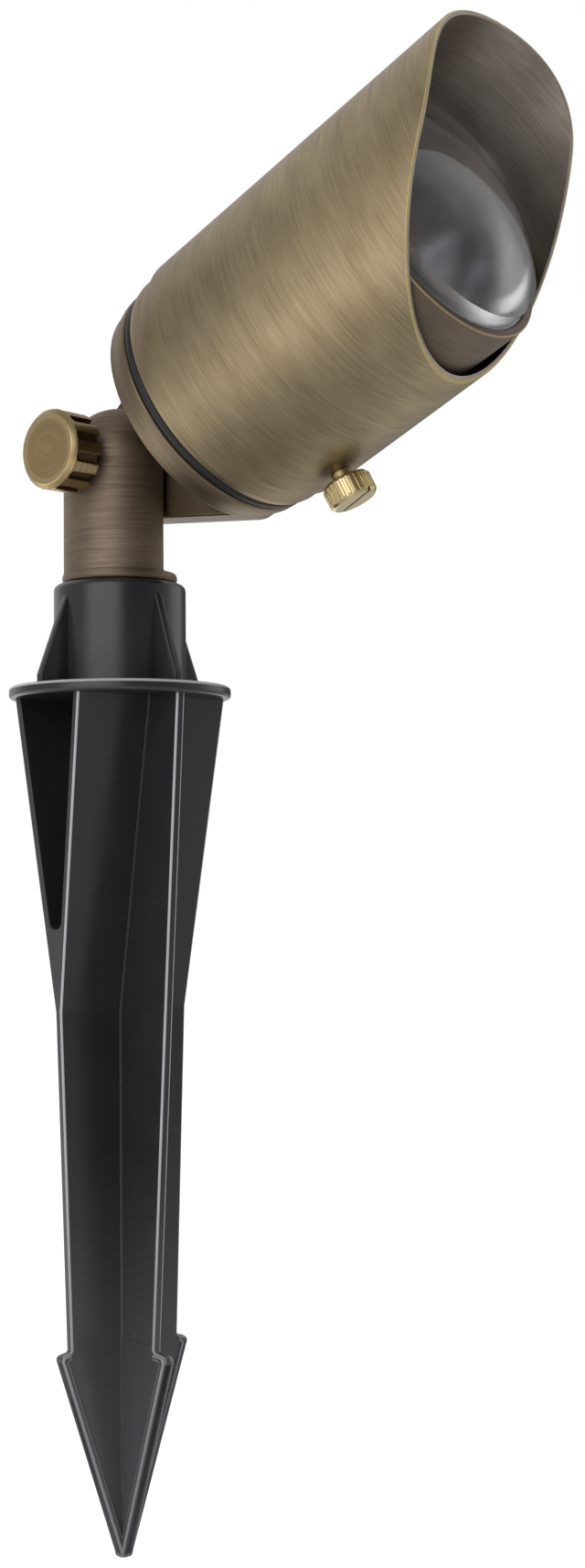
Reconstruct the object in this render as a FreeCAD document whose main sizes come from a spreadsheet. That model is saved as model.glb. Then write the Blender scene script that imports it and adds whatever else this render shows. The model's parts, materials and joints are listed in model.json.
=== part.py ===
"""Garden spike spotlight: a brass adjustable lamp head on a knuckle, screwed into a black plastic ground spike.

Lengths are millimetres and angles are degrees. The origin is on the spike's axis at ground level, which is the
underside of the spike's flange. +Z is up, +X is the way the head points seen from above, and the knuckle's
pivot runs along Y with its thumb knob on the -Y side. The head's own pieces are drawn along their common axis
from the foot of the pivot, with local +X on the underside of the head.
"""

import FreeCAD, Part
import math
import os
import re
import Sketcher

# Driving dimensions. Each one stands alone.
SIZES = {
    # spike, one moulding
    "flange_radius": "26",
    "flange_thickness": "2.8",
    "flange_edge_round": "0.8",
    "hub_radius": "15.5",
    "hub_height": "24.1",
    "hub_edge_round": "1.4",
    "gusset_reach": "22.8",
    "gusset_foot": "2",
    "gusset_drop": "3.4",
    "gusset_thickness": "2.2",
    "gusset_count": "4",
    "spike_turn": "-8.55",
    "web_thickness": "2.2",
    "fin_reach_top": "23.7",
    "fin_reach_step": "18.5",
    "fin_reach_neck": "13.2",
    "rib_reach_top": "20.9",
    "rib_reach_step": "17.8",
    "rib_reach_neck": "15",
    "step_depth": "72.4",
    "neck_depth": "149.5",
    "spike_depth": "198.2",
    "barb_reach": "18.1",
    "tip_half_width": "1.25",
    "wedge_half_width": "13",
    "wedge_wall": "2",
    "wedge_slot_depth": "53.5",
    "wedge_slot_end": "2.5",
    "wedge_slot_recess": "0.8",
    "wedge_slot_overrun": "0.4",
    # thread of the knuckle stem in the hub
    "thread_radius": "10.35",
    "thread_length": "12.5",
    "thread_clearance": "0.15",
    "thread_chamfer": "0.8",
    "hub_seat_gap": "0.3",
    # knuckle stem
    "stem_radius": "13.14",
    "stem_dome_radius": "13.3",
    "stem_dome_height": "55.4",
    "stem_collar_bulge": "2",
    "stem_collar": "2.3",
    "pivot_height": "56.2",
    "cheek_offset": "1.7",
    "wire_bore_radius": "3.6",
    "wire_bore_offset": "3.5",
    "wire_bore_rise": "24.1",
    "wire_port_drop": "8.5",
    "wire_port_radius": "2.8",
    # knuckle seal and ear of the rear cap
    "seal_thickness": "1.2",
    "seal_gap": "0.05",
    "seal_width": "1.9",
    "seal_radius": "12.3",
    "ear_radius": "13.2",
    "ear_thickness": "10.1",
    "ear_groove_inner": "6",
    "ear_groove_outer": "11",
    "ear_groove_depth": "7",
    "ear_passage_radius": "2.6",
    # thumb knob and its stud
    "knob_radius": "9.24",
    "knob_length": "8.83",
    "knob_standoff": "1.03",
    "knob_face_bevel": "1.1",
    "knob_flute_count": "12",
    "knob_flute_width": "2.2",
    "knob_flute_depth": "1.5",
    "knob_flute_end": "1.0",
    "knob_phase": "13",
    "stud_radius": "2.9",
    "stud_clearance": "0.3",
    "stud_tip_depth": "8",
    "stud_knob_depth": "4.8",
    "knob_washer_radius": "5.6",
    "knob_washer_thickness": "0.8",
    # head: tilt of the beam axis above level, and the axis's drop below the pivot
    "head_tilt": "23.43",
    "axis_drop": "2.82",
    "cap_rear": "27.3",
    "cap_floor": "3",
    "cap_rear_radius": "28.17",
    "cap_rear_round": "1",
    "cap_front_radius": "29.3",
    "cap_length": "6.5",
    "spigot_radius": "26.8",
    "spigot_wall": "2.4",
    "spigot_length": "12",
    "oring_thickness": "2.4",
    "housing_shoulder_radius": "30",
    "housing_shoulder_length": "7.1",
    "housing_radius": "28.3",
    "housing_wall": "2",
    "housing_front": "102.5",
    "housing_socket_gap": "0.15",
    "guide_length": "5",
    "front_guide_place": "78",
    "ledge_thickness": "3",
    "ledge_width": "2.5",
    "ledge_depth": "8",
    # lens and its gasket
    "gasket_thickness": "0.6",
    "gasket_seat": "1.6",
    "gasket_gap": "0.05",
    "lens_edge_height": "6.65",
    "lens_dome_radius": "40.87",
    "lens_wall": "3.2",
    "lens_foot_width": "3",
    # lamp, socket and bracket
    "lamp_radius": "25.2",
    "lamp_rim_depth": "4",
    "lamp_depth": "35",
    "lamp_neck_radius": "8.6",
    "lamp_hole_radius": "4.5",
    "lamp_wall": "1.5",
    "lamp_bulge": "42",
    "lamp_glass_thickness": "1.6",
    "lamp_face_gap": "0.9",
    "capsule_radius": "4.2",
    "capsule_length": "20",
    "base_radius": "8",
    "base_length": "11",
    "pin_radius": "0.75",
    "pin_half_spacing": "2.67",
    "pin_length": "7.5",
    "socket_radius": "8.5",
    "socket_length": "12",
    "socket_gap": "0.5",
    "pin_hole_radius": "0.95",
    "pin_hole_depth": "8.4",
    "bracket_thickness": "1",
    "bracket_half_length": "20",
    "bracket_step": "12.5",
    "bracket_slope": "1.6",
    "bracket_width": "8.5",
    "bracket_shift": "0.75",
    "screw_place": "16",
    "screw_radius": "1.4",
    "screw_length": "3",
    "screw_head_radius": "2.75",
    "screw_head_height": "2",
    "screw_slot_width": "0.8",
    "screw_slot_depth": "0.9",
    "screw_hole_radius": "1.5",
    "lead_radius": "0.8",
    "lead_half_spacing": "1.05",
    # sliding glare shroud and its thumbscrew
    "shroud_turn": "11.16",
    "shroud_radius": "30.97",
    "shroud_wall": "1.2",
    "shroud_gap": "0.3",
    "shroud_long_reach": "130.3",
    "shroud_short_reach": "89.3",
    "shroud_nose_radius": "32.5",
    "shroud_nose_height": "27",
    "thumbscrew_place": "53",
    "thumbscrew_neck_radius": "2.4",
    "thumbscrew_neck_length": "2",
    "thumbscrew_head_radius": "5.6",
    "thumbscrew_head_length": "5.4",
    "thumbscrew_shank_radius": "1.9",
    "thumbscrew_hole_radius": "2.1",
    "thumbscrew_bevel": "0.6",
    "thumbscrew_slot_width": "1.1",
    "thumbscrew_slot_depth": "1.4",
    "thumbscrew_tip_gap": "0.1",
    "knurl_count": "24",
    "knurl_depth": "0.35",
    "knurl_width": "0.6",
}

# Places that several pieces share, each worked out from the sizes above it.
PLACES = {
    "hub_top": "flange_thickness+hub_height",
    "hub_bore_radius": "thread_radius+thread_clearance",
    "stem_foot": "hub_top+hub_seat_gap",
    "thread_foot": "stem_foot-thread_length",
    "port_height": "pivot_height-wire_port_drop",
    "ear_near": "seal_thickness+2*seal_gap",
    "ear_middle": "ear_near+ear_thickness/2",
    "knob_back": "stem_radius+knob_standoff",
    "cap_front": "cap_rear+cap_length",
    "cap_inside": "cap_rear+cap_floor",
    "oring_middle": "cap_front+oring_thickness/2+0.05",
    "shoulder_rear": "cap_front+oring_thickness+0.1",
    "shoulder_front": "shoulder_rear+housing_shoulder_length",
    "housing_bore": "housing_radius-housing_wall",
    "ledge_front": "housing_front-ledge_depth+ledge_thickness",
    "gasket_rear": "ledge_front+gasket_gap",
    "lens_radius": "housing_bore-gasket_thickness-2*gasket_gap",
    "lens_rear": "gasket_rear+gasket_seat",
    "lens_edge": "lens_rear+lens_edge_height",
    "lens_rise": "lens_dome_radius-sqrt(lens_dome_radius^2-lens_radius^2)",
    "lens_apex": "lens_edge+lens_rise",
    "lens_foot_radius": "lens_radius-lens_foot_width",
    "lens_inner_rise": "lens_apex-lens_wall-lens_rear",
    "lens_inner_radius": "(lens_foot_radius^2+lens_inner_rise^2)/(2*lens_inner_rise)",
    "lamp_front": "housing_front-ledge_depth-lamp_face_gap-lamp_glass_thickness",
    "lamp_rear": "lamp_front-lamp_depth",
    "base_rear": "lamp_rear-base_length",
    "socket_front": "base_rear-socket_gap",
    "socket_rear": "socket_front-socket_length",
    "lead_end": "ear_groove_outer-2",
    "shroud_rear": "shoulder_front+0.05",
    "shroud_bore": "shroud_radius-shroud_wall",
    "guide_radius": "shroud_bore-shroud_gap",
    "nose_centre": "shroud_long_reach-shroud_nose_radius",
    "nose_ahead": "nose_centre-shroud_short_reach",
    "nose_above": "shroud_nose_height+shroud_radius",
    "nose_distance": "sqrt(nose_ahead^2+nose_above^2)",
    "cut_angle": "atan(nose_ahead/nose_above)+asin(shroud_nose_radius/nose_distance)",
    "nose_foot": "shroud_nose_height-shroud_nose_radius*sin(cut_angle)",
    "nose_foot_reach": "nose_centre+shroud_nose_radius*cos(cut_angle)",
    "cut_overrun": "shroud_radius+2",
    "short_cut_reach": "shroud_short_reach-(cut_overrun-shroud_radius)*tan(cut_angle)",
    "head_x": "axis_drop*sin(head_tilt)",
    "head_z": "pivot_height-axis_drop*cos(head_tilt)",
}

WORD = re.compile(r"\b([a-z]\w*)\b(?!\()")


def full(expression):
    """The expression with the sheet's name put before each size or place that it uses."""

    def prefixed(match):
        word = match.group(1)
        sheet = "Sizes" if word in SIZES else "Places"
        return sheet + "." + word

    return WORD.sub(prefixed, expression)


def fill_sheet(doc, name, cells):
    """Write names in column A and their values, as text, in column B with the name as alias."""
    sheet = doc.addObject("Spreadsheet::Sheet", name)
    for row, (alias, content) in enumerate(cells.items(), start=1):
        sheet.set("A%d" % row, alias)
        sheet.set("B%d" % row, content)
        sheet.setAlias("B%d" % row, alias)
    doc.recompute()
    return sheet


doc = FreeCAD.newDocument("garden_spike_spotlight")
sizes = fill_sheet(doc, "Sizes", SIZES)
places = fill_sheet(doc, "Places", {name: "=" + full(text) for name, text in PLACES.items()})


def value(expression):
    """The number that an expression has now."""
    return float(places.evalExpression(full(expression)))


def new_body(label):
    """An empty body whose label is the name of its file."""
    body = doc.addObject("PartDesign::Body", label)
    body.Label = label
    return body


def origin_feature(body, role):
    """One of the body's own origin planes or axes."""
    return next(feature for feature in body.Origin.OriginFeatures if feature.Role == role)


def new_sketch(body, role, offset):
    """An empty sketch on an origin plane, moved along +X, +Y or +Z by offset."""
    sketch = body.newObject("Sketcher::SketchObject", body.Label + "_sketch")
    sketch.AttachmentSupport = [(origin_feature(body, role), "")]
    sketch.MapMode = "FlatFace"
    sign = "-1" if role == "XZ_Plane" else "1"
    sketch.setExpression("AttachmentOffset.Base.z", full("%s*(%s)" % (sign, offset)))
    return sketch


def pin_point(sketch, line, end, across, up):
    """Hold one end of a line at two expressions measured from the sketch's origin."""
    for kind, text, axis in (("DistanceX", across, -2), ("DistanceY", up, -1)):
        if text == "0":
            sketch.addConstraint(Sketcher.Constraint("PointOnObject", line, end, axis))
        else:
            index = sketch.addConstraint(Sketcher.Constraint(kind, -1, 1, line, end, value(text)))
            sketch.setExpression("Constraints[%d]" % index, full(text))


def arc_between(start, finish, radius):
    """The shorter arc from start to finish: anticlockwise for a positive radius, clockwise for a negative one."""
    chord = finish - start
    half = chord.Length / 2
    side = FreeCAD.Vector(-chord.y, chord.x, 0).normalize() * (1 if radius > 0 else -1)
    sagitta = abs(radius) - math.sqrt(radius * radius - half * half)
    return Part.Arc(start, (start + finish) / 2 - side * sagitta, finish)


def outline(body, role, points, offset="0"):
    """A closed sketch. Each point is (across, up), or (across, up, radius) where an arc leaves it."""
    sketch = new_sketch(body, role, offset)
    corners = [FreeCAD.Vector(value(point[0]), value(point[1]), 0) for point in points]
    first_ends = []
    for index, point in enumerate(points):
        start = corners[index]
        finish = corners[(index + 1) % len(points)]
        if len(point) == 3:
            sketch.addGeometry(arc_between(start, finish, value(point[2])))
        else:
            sketch.addGeometry(Part.LineSegment(start, finish))
        near = (sketch.getPoint(index, 1) - start).Length
        far = (sketch.getPoint(index, 2) - start).Length
        first_ends.append(1 if near < far else 2)
    for index, point in enumerate(points):
        before = index - 1 if index else len(points) - 1
        last_end = 3 - first_ends[before]
        sketch.addConstraint(Sketcher.Constraint("Coincident", before, last_end, index, first_ends[index]))
        pin_point(sketch, index, first_ends[index], point[0], point[1])
        if len(point) == 3:
            radius = abs(value(point[2]))
            added = sketch.addConstraint(Sketcher.Constraint("Radius", index, radius))
            sketch.setExpression("Constraints[%d]" % added, "abs(%s)" % full(point[2]))
    return sketch


def circles(body, role, rounds, offset="0"):
    """A sketch of circles, each (across, up, radius)."""
    sketch = new_sketch(body, role, offset)
    for index, (across, up, radius) in enumerate(rounds):
        centre = FreeCAD.Vector(value(across), value(up), 0)
        sketch.addGeometry(Part.Circle(centre, FreeCAD.Vector(0, 0, 1), value(radius)))
        pin_point(sketch, index, 3, across, up)
        added = sketch.addConstraint(Sketcher.Constraint("Radius", index, value(radius)))
        sketch.setExpression("Constraints[%d]" % added, full(radius))
    return sketch


def middle(low, high):
    """The expression half way between two expressions."""
    return "((%s)+(%s))/2" % (low, high)


def grow(body, sketch, length):
    """Pad a sketch by the same amount to each side of its plane."""
    pad = body.newObject("PartDesign::Pad", body.Label + "_pad")
    pad.Profile = sketch
    pad.SideType = "Symmetric"
    pad.setExpression("Length", full(length))
    doc.recompute()
    return pad


def carve(body, sketch, length):
    """Pocket a sketch by the same amount to each side of its plane, and make sure that it cut something."""
    doc.recompute()
    volume = body.Shape.Volume
    pocket = body.newObject("PartDesign::Pocket", body.Label + "_pocket")
    pocket.Profile = sketch
    pocket.SideType = "Symmetric"
    pocket.setExpression("Length", full(length))
    doc.recompute()
    if not body.Shape.Volume < volume:
        raise RuntimeError("a pocket in %s removed nothing" % body.Label)
    return pocket


def slab(body, role, points, low, high, cut=False):
    """A plate with the given outline between two offsets along the plane's axis, added or cut away."""
    sketch = outline(body, role, points, middle(low, high))
    length = "(%s)-(%s)" % (high, low)
    return carve(body, sketch, length) if cut else grow(body, sketch, length)


def rod(body, role, rounds, low, high, cut=False):
    """Round bars between two offsets along the plane's axis, added or cut away."""
    sketch = circles(body, role, rounds, middle(low, high))
    length = "(%s)-(%s)" % (high, low)
    return carve(body, sketch, length) if cut else grow(body, sketch, length)


def turn(body, points):
    """A turned piece: the outline (radius, height) revolved about the body's Z axis."""
    revolution = body.newObject("PartDesign::Revolution", body.Label + "_turning")
    revolution.Profile = outline(body, "XZ_Plane", points)
    revolution.ReferenceAxis = (revolution.Profile[0], ["V_Axis"])
    revolution.Angle = 360
    doc.recompute()
    return revolution


def around(body, feature, count):
    """Copies of a feature spaced evenly about the body's Z axis."""
    pattern = body.newObject("PartDesign::PolarPattern", body.Label + "_ring")
    pattern.Originals = [feature]
    pattern.Axis = (origin_feature(body, "Z_Axis"), [""])
    pattern.Angle = 360
    pattern.setExpression("Occurrences", full(count))
    body.Tip = pattern
    doc.recompute()
    return pattern


def round_rims(body, radius, rims):
    """Fillet the circular edges that have the given (radius, height) about the body's Z axis."""
    wanted = [(value(rim), value(height)) for rim, height in rims]
    names = []
    base = body.Tip
    for index, edge in enumerate(base.Shape.Edges, start=1):
        if not isinstance(edge.Curve, Part.Circle):
            continue
        found = (edge.Curve.Radius, edge.Curve.Center.z)
        if any(math.dist(found, rim) < 1e-4 for rim in wanted):
            names.append("Edge%d" % index)
    fillet = body.newObject("PartDesign::Fillet", body.Label + "_round")
    fillet.Base = (base, names)
    fillet.setExpression("Radius", full(radius))
    doc.recompute()
    return fillet


def mirrored(points):
    """An outline's right half, drawn from its top downwards, followed by its left half on the way back up."""
    back = [("-(%s)" % across, up) for across, up in reversed(points)]
    return points + back


# Frames of the moving groups, as FreeCAD placement expressions.
HEAD = "placement(vector(head_x;cheek_offset;head_z);rotation(vector(0;1;0);90-head_tilt))"
SHROUD = HEAD + "*placement(vector(0;0;0);rotation(vector(0;0;1);shroud_turn))"
THUMBSCREW = SHROUD + "*placement(vector(0;0;thumbscrew_place);rotation(vector(0;1;0);90))"
KNOB = "placement(vector(0;0;pivot_height);rotation(vector(1;0;0);90))"
KNOB += "*placement(vector(0;0;0);rotation(vector(0;0;1);knob_phase))"
SPIKE = "placement(vector(0;0;0);rotation(vector(0;0;1);spike_turn))"


def put(body, frame):
    """Bind a body's placement to a frame expression."""
    body.setExpression("Placement", full(frame))
    doc.recompute()


def ground_spike():
    """The spike: hub and gussets on a flange, a hollow wedge below it, and a four-finned blade with a barbed tip."""
    body = new_body("ground_spike")
    turn(body, [
        ("0", "0"), ("flange_radius", "0"), ("flange_radius", "flange_thickness"),
        ("hub_radius", "flange_thickness"), ("hub_radius", "hub_top"), ("0", "hub_top"),
    ])
    round_rims(body, "flange_edge_round", [("flange_radius", "0"), ("flange_radius", "flange_thickness")])
    round_rims(body, "hub_edge_round", [("hub_radius", "hub_top")])
    gusset = slab(body, "XZ_Plane", [
        ("hub_radius-1", "flange_thickness/2"),
        ("gusset_reach", "flange_thickness/2"),
        ("gusset_reach", "flange_thickness+gusset_foot"),
        ("hub_radius-0.1", "hub_top-gusset_drop"),
        ("hub_radius-1", "hub_top-gusset_drop"),
    ], "-gusset_thickness/2", "gusset_thickness/2")
    around(body, gusset, "gusset_count")
    tip = [
        ("barb_reach", "-neck_depth"),
        ("tip_half_width", "-spike_depth"),
    ]
    fins = [
        ("fin_reach_top", "flange_thickness/2"),
        ("fin_reach_top", "0"),
        ("fin_reach_step", "-step_depth"),
        ("fin_reach_neck", "-neck_depth"),
    ]
    slab(body, "XZ_Plane", mirrored(fins + tip), "-web_thickness/2", "web_thickness/2")
    ribs = [
        ("rib_reach_step", "-step_depth"),
        ("rib_reach_neck", "-neck_depth"),
    ]
    slab(body, "YZ_Plane", mirrored(ribs + tip), "-web_thickness/2", "web_thickness/2")
    wedge = body.newObject("PartDesign::AdditiveLoft", "ground_spike_wedge")
    wedge.Profile = box_section(body, "wedge_half_width", "rib_reach_top", "0")
    wedge.Sections = [box_section(body, "web_thickness/2", "rib_reach_step", "-step_depth")]
    wedge.Ruled = True
    doc.recompute()
    slope = "(wedge_half_width-web_thickness/2)/step_depth"
    wall = "wedge_wall*sqrt(1+(%s)^2)" % slope
    slot_foot = "wedge_half_width-(%s)-(wedge_slot_depth-wedge_slot_end)*%s" % (wall, slope)
    slab(body, "XZ_Plane", [
        ("wedge_half_width-(%s)" % wall, "0"), ("wedge_half_width-(%s)" % wall, "wedge_slot_recess"),
        ("-(wedge_half_width-(%s))" % wall, "wedge_slot_recess"), ("-(wedge_half_width-(%s))" % wall, "0"),
        ("-(%s)" % slot_foot, "-(wedge_slot_depth-wedge_slot_end)", "(%s)*1.02" % slot_foot),
        (slot_foot, "-(wedge_slot_depth-wedge_slot_end)"),
    ], "-(rib_reach_top+wedge_slot_overrun)", "rib_reach_top+wedge_slot_overrun", cut=True)
    rod(body, "XY_Plane", [("0", "0", "hub_bore_radius")], "-0.5", "hub_top+1", cut=True)
    put(body, SPIKE)
    return body


def box_section(body, half_x, half_y, height):
    """A rectangle about the Z axis at a height."""
    return outline(body, "XY_Plane", [
        (half_x, half_y), ("-(%s)" % half_x, half_y), ("-(%s)" % half_x, "-(%s)" % half_y),
        (half_x, "-(%s)" % half_y),
    ], height)


def knuckle_stem():
    """The turned stem: threaded foot, collar, and a domed post cut flat on the side that meets the ear."""
    body = new_body("knuckle_stem")
    top = "stem_dome_height+stem_dome_radius"
    dome_foot = "stem_dome_height+sqrt(stem_dome_radius^2-stem_radius^2)"
    turn(body, [
        ("0", "thread_foot"), ("thread_radius-thread_chamfer", "thread_foot"),
        ("thread_radius", "thread_foot+thread_chamfer"), ("thread_radius", "stem_foot"),
        ("stem_radius", "stem_foot", "stem_collar_bulge"), ("stem_radius", "stem_foot+stem_collar"),
        ("stem_radius", dome_foot, "stem_dome_radius"), ("0", top),
    ])
    wide = "stem_radius+1"
    slab(body, "YZ_Plane", [
        ("cheek_offset", "stem_foot+stem_collar"), (wide, "stem_foot+stem_collar"),
        (wide, top + "+1"), ("cheek_offset", top + "+1"),
    ], "-(%s)" % wide, wide, cut=True)
    rod(body, "XZ_Plane", [("0", "pivot_height", "stud_radius+stud_clearance")], "-(%s)" % wide, wide, cut=True)
    rod(body, "XY_Plane", [("0", "-wire_bore_offset", "wire_bore_radius")],
        "thread_foot-1", "stem_foot+wire_bore_rise", cut=True)
    rod(body, "XZ_Plane", [("0", "port_height", "wire_port_radius")],
        "-wire_bore_offset", "cheek_offset+1", cut=True)
    return body


def knuckle_seal():
    """The rubber friction ring between the stem's flat cheek and the ear."""
    body = new_body("knuckle_seal")
    turn(body, [
        ("seal_radius-seal_width", "-(cheek_offset+seal_gap+seal_thickness)"),
        ("seal_radius", "-(cheek_offset+seal_gap+seal_thickness)"),
        ("seal_radius", "-(cheek_offset+seal_gap)"),
        ("seal_radius-seal_width", "-(cheek_offset+seal_gap)"),
    ])
    put(body, KNOB)
    return body


def rear_cap():
    """The cap that closes the head's rear, with a threaded spigot in front and the knuckle's ear behind."""
    body = new_body("rear_cap")
    turn(body, [
        ("0", "cap_rear"), ("cap_rear_radius-cap_rear_round", "cap_rear"),
        ("cap_rear_radius", "cap_rear+cap_rear_round"), ("cap_front_radius", "cap_front"),
        ("spigot_radius", "cap_front"), ("spigot_radius", "cap_front+spigot_length"),
        ("spigot_radius-spigot_wall", "cap_front+spigot_length"),
        ("spigot_radius-spigot_wall", "cap_inside"), ("0", "cap_inside"),
    ])
    ear = grow(body, ear_sketch(body), "ear_thickness")
    ear_trim(body)
    pivot = "-axis_drop"
    rod(body, "XZ_Plane", [(pivot, "0", "ear_groove_outer"), (pivot, "0", "ear_groove_inner")],
        "ear_near-1", "ear_near+ear_groove_depth", cut=True)
    rod(body, "XZ_Plane", [(pivot, "0", "stud_radius+stud_clearance")],
        "ear_near-1", "ear_near+stud_tip_depth", cut=True)
    rod(body, "XY_Plane", [(pivot, "ear_near+ear_groove_depth/2+1.5", "ear_passage_radius")],
        "ear_groove_outer-2", "cap_inside+1", cut=True)
    rod(body, "XY_Plane", [("screw_place", "-bracket_shift", "screw_hole_radius"),
                           ("-screw_place", "-bracket_shift", "screw_hole_radius")],
        "cap_inside+bracket_thickness-screw_length-0.2", "cap_inside+1", cut=True)
    put(body, HEAD)
    return body


def ear_sketch(body):
    """The ear's fan: round about the pivot, with straight sides that run out to the cap's rear rim."""
    sketch = new_sketch(body, "XZ_Plane", "ear_middle")
    pivot = FreeCAD.Vector(value("-axis_drop"), 0, 0)
    radius = value("ear_radius")
    rim = value("cap_rear_radius-cap_rear_round")
    rear = value("cap_rear")
    front = value("cap_rear+cap_floor/2")
    touches = []
    for side in (1, -1):
        corner = FreeCAD.Vector(side * rim, rear, 0)
        reach = (corner - pivot).Length
        bearing = math.atan2(corner.y - pivot.y, corner.x - pivot.x)
        swing = bearing - side * math.acos(radius / reach)
        touches.append(pivot + FreeCAD.Vector(math.cos(swing), math.sin(swing), 0) * radius)
    corners = [FreeCAD.Vector(rim, rear, 0), FreeCAD.Vector(rim, front, 0),
               FreeCAD.Vector(-rim, front, 0), FreeCAD.Vector(-rim, rear, 0)]
    sketch.addGeometry(Part.Arc(touches[1], pivot - FreeCAD.Vector(0, radius, 0), touches[0]))
    sketch.addGeometry(Part.LineSegment(touches[0], corners[0]))
    sketch.addGeometry(Part.LineSegment(corners[0], corners[1]))
    sketch.addGeometry(Part.LineSegment(corners[1], corners[2]))
    sketch.addGeometry(Part.LineSegment(corners[2], corners[3]))
    sketch.addGeometry(Part.LineSegment(corners[3], touches[1]))
    pin_point(sketch, 0, 3, "-axis_drop", "0")
    added = sketch.addConstraint(Sketcher.Constraint("Radius", 0, radius))
    sketch.setExpression("Constraints[%d]" % added, full("ear_radius"))
    sketch.addConstraint(Sketcher.Constraint("Tangent", 0, 2, 1, 1))
    sketch.addConstraint(Sketcher.Constraint("Tangent", 5, 2, 0, 1))
    for line in (1, 2, 3, 4):
        sketch.addConstraint(Sketcher.Constraint("Coincident", line, 2, line + 1, 1))
    pin_point(sketch, 1, 2, "cap_rear_radius-cap_rear_round", "cap_rear")
    pin_point(sketch, 2, 2, "cap_rear_radius-cap_rear_round", "cap_rear+cap_floor/2")
    pin_point(sketch, 3, 2, "-(cap_rear_radius-cap_rear_round)", "cap_rear+cap_floor/2")
    pin_point(sketch, 4, 2, "-(cap_rear_radius-cap_rear_round)", "cap_rear")
    return sketch


def ear_trim(body):
    """Turn the ear's outer corners down to the cap's rear rim."""
    rim = "cap_rear_radius-cap_rear_round"
    groove = body.newObject("PartDesign::Groove", "rear_cap_groove")
    groove.Profile = outline(body, "XZ_Plane", [
        (rim, "-ear_radius-5"), ("cap_rear_radius+30", "-ear_radius-5"),
        ("cap_rear_radius+30", "cap_rear"), (rim, "cap_rear"),
    ])
    groove.ReferenceAxis = (groove.Profile[0], ["V_Axis"])
    groove.Angle = 360
    doc.recompute()


def cap_o_ring():
    """The black ring squeezed between the cap and the housing, seen as a dark line round the head."""
    body = new_body("cap_o_ring")
    ring = body.newObject("PartDesign::AdditiveTorus", "cap_o_ring_torus")
    ring.setExpression("Radius1", full("spigot_radius+0.2+oring_thickness/2"))
    ring.setExpression("Radius2", full("oring_thickness/2"))
    ring.AttachmentSupport = [(origin_feature(body, "XY_Plane"), "")]
    ring.MapMode = "FlatFace"
    ring.setExpression("AttachmentOffset.Base.z", full("oring_middle"))
    put(body, HEAD)
    return body


def lamp_housing():
    """The lamp tube: threaded rear shoulder, two guide bands for the shroud, and a ledge for the lens gasket."""
    body = new_body("lamp_housing")
    socket = "spigot_radius+housing_socket_gap"
    socket_end = "cap_front+spigot_length+1"
    turn(body, [
        (socket, "shoulder_rear"), ("housing_shoulder_radius-0.5", "shoulder_rear"),
        ("housing_shoulder_radius", "shoulder_rear+1.2"), ("housing_shoulder_radius", "shoulder_front"),
        ("guide_radius", "shoulder_front"), ("guide_radius", "shoulder_front+guide_length"),
        ("housing_radius", "shoulder_front+guide_length+0.6"), ("housing_radius", "front_guide_place"),
        ("guide_radius", "front_guide_place+0.6"), ("guide_radius", "front_guide_place+guide_length"),
        ("housing_radius", "front_guide_place+guide_length+0.6"), ("housing_radius", "housing_front"),
        ("housing_bore", "housing_front"), ("housing_bore", "ledge_front"),
        ("housing_bore-ledge_width", "ledge_front"),
        ("housing_bore-ledge_width", "ledge_front-ledge_thickness"),
        ("housing_bore", "ledge_front-ledge_thickness"), ("housing_bore", socket_end), (socket, socket_end),
    ])
    put(body, HEAD)
    return body


def lens_gasket():
    """The silicone ring that the lens sits in, with a foot on the housing's ledge."""
    body = new_body("lens_gasket")
    outer = "housing_bore-gasket_gap"
    turn(body, [
        ("lens_foot_radius", "gasket_rear"), (outer, "gasket_rear"), (outer, "housing_front-0.4"),
        ("lens_radius+gasket_gap/2", "housing_front-0.4"), ("lens_radius+gasket_gap/2", "lens_rear-gasket_gap/2"),
        ("lens_foot_radius", "lens_rear-gasket_gap/2"),
    ])
    put(body, HEAD)
    return body


def glass_lens():
    """The thick domed glass over the lamp."""
    body = new_body("glass_lens")
    turn(body, [
        ("lens_foot_radius", "lens_rear"), ("lens_radius", "lens_rear"),
        ("lens_radius", "lens_edge", "lens_dome_radius"), ("0", "lens_apex"),
        ("0", "lens_apex-lens_wall", "-lens_inner_radius"),
    ])
    put(body, HEAD)
    return body


def lamp_reflector():
    """The lamp's dished glass reflector with its front rim."""
    body = new_body("lamp_reflector")
    rim_rear = "lamp_front-lamp_rim_depth"
    turn(body, [
        ("lamp_hole_radius", "lamp_rear"), ("lamp_neck_radius", "lamp_rear", "lamp_bulge"),
        ("lamp_radius-0.6", rim_rear), ("lamp_radius", rim_rear), ("lamp_radius", "lamp_front"),
        ("lamp_radius-lamp_wall", "lamp_front", "-(lamp_bulge)"),
        ("lamp_neck_radius-lamp_wall", "lamp_rear+lamp_wall*1.2"),
        ("lamp_hole_radius", "lamp_rear+lamp_wall*1.2"),
    ])
    put(body, HEAD)
    return body


def lamp_front_glass():
    """The flat cover glass on the lamp's rim."""
    body = new_body("lamp_front_glass")
    turn(body, [
        ("0", "lamp_front"), ("lamp_radius", "lamp_front"),
        ("lamp_radius", "lamp_front+lamp_glass_thickness"), ("0", "lamp_front+lamp_glass_thickness"),
    ])
    put(body, HEAD)
    return body


def lamp_capsule():
    """The light source on the lamp's axis, with a round end."""
    body = new_body("lamp_capsule")
    turn(body, [
        ("0", "lamp_rear"), ("capsule_radius", "lamp_rear"),
        ("capsule_radius", "lamp_rear+capsule_length", "capsule_radius"),
        ("0", "lamp_rear+capsule_length+capsule_radius"),
    ])
    put(body, HEAD)
    return body


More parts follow.
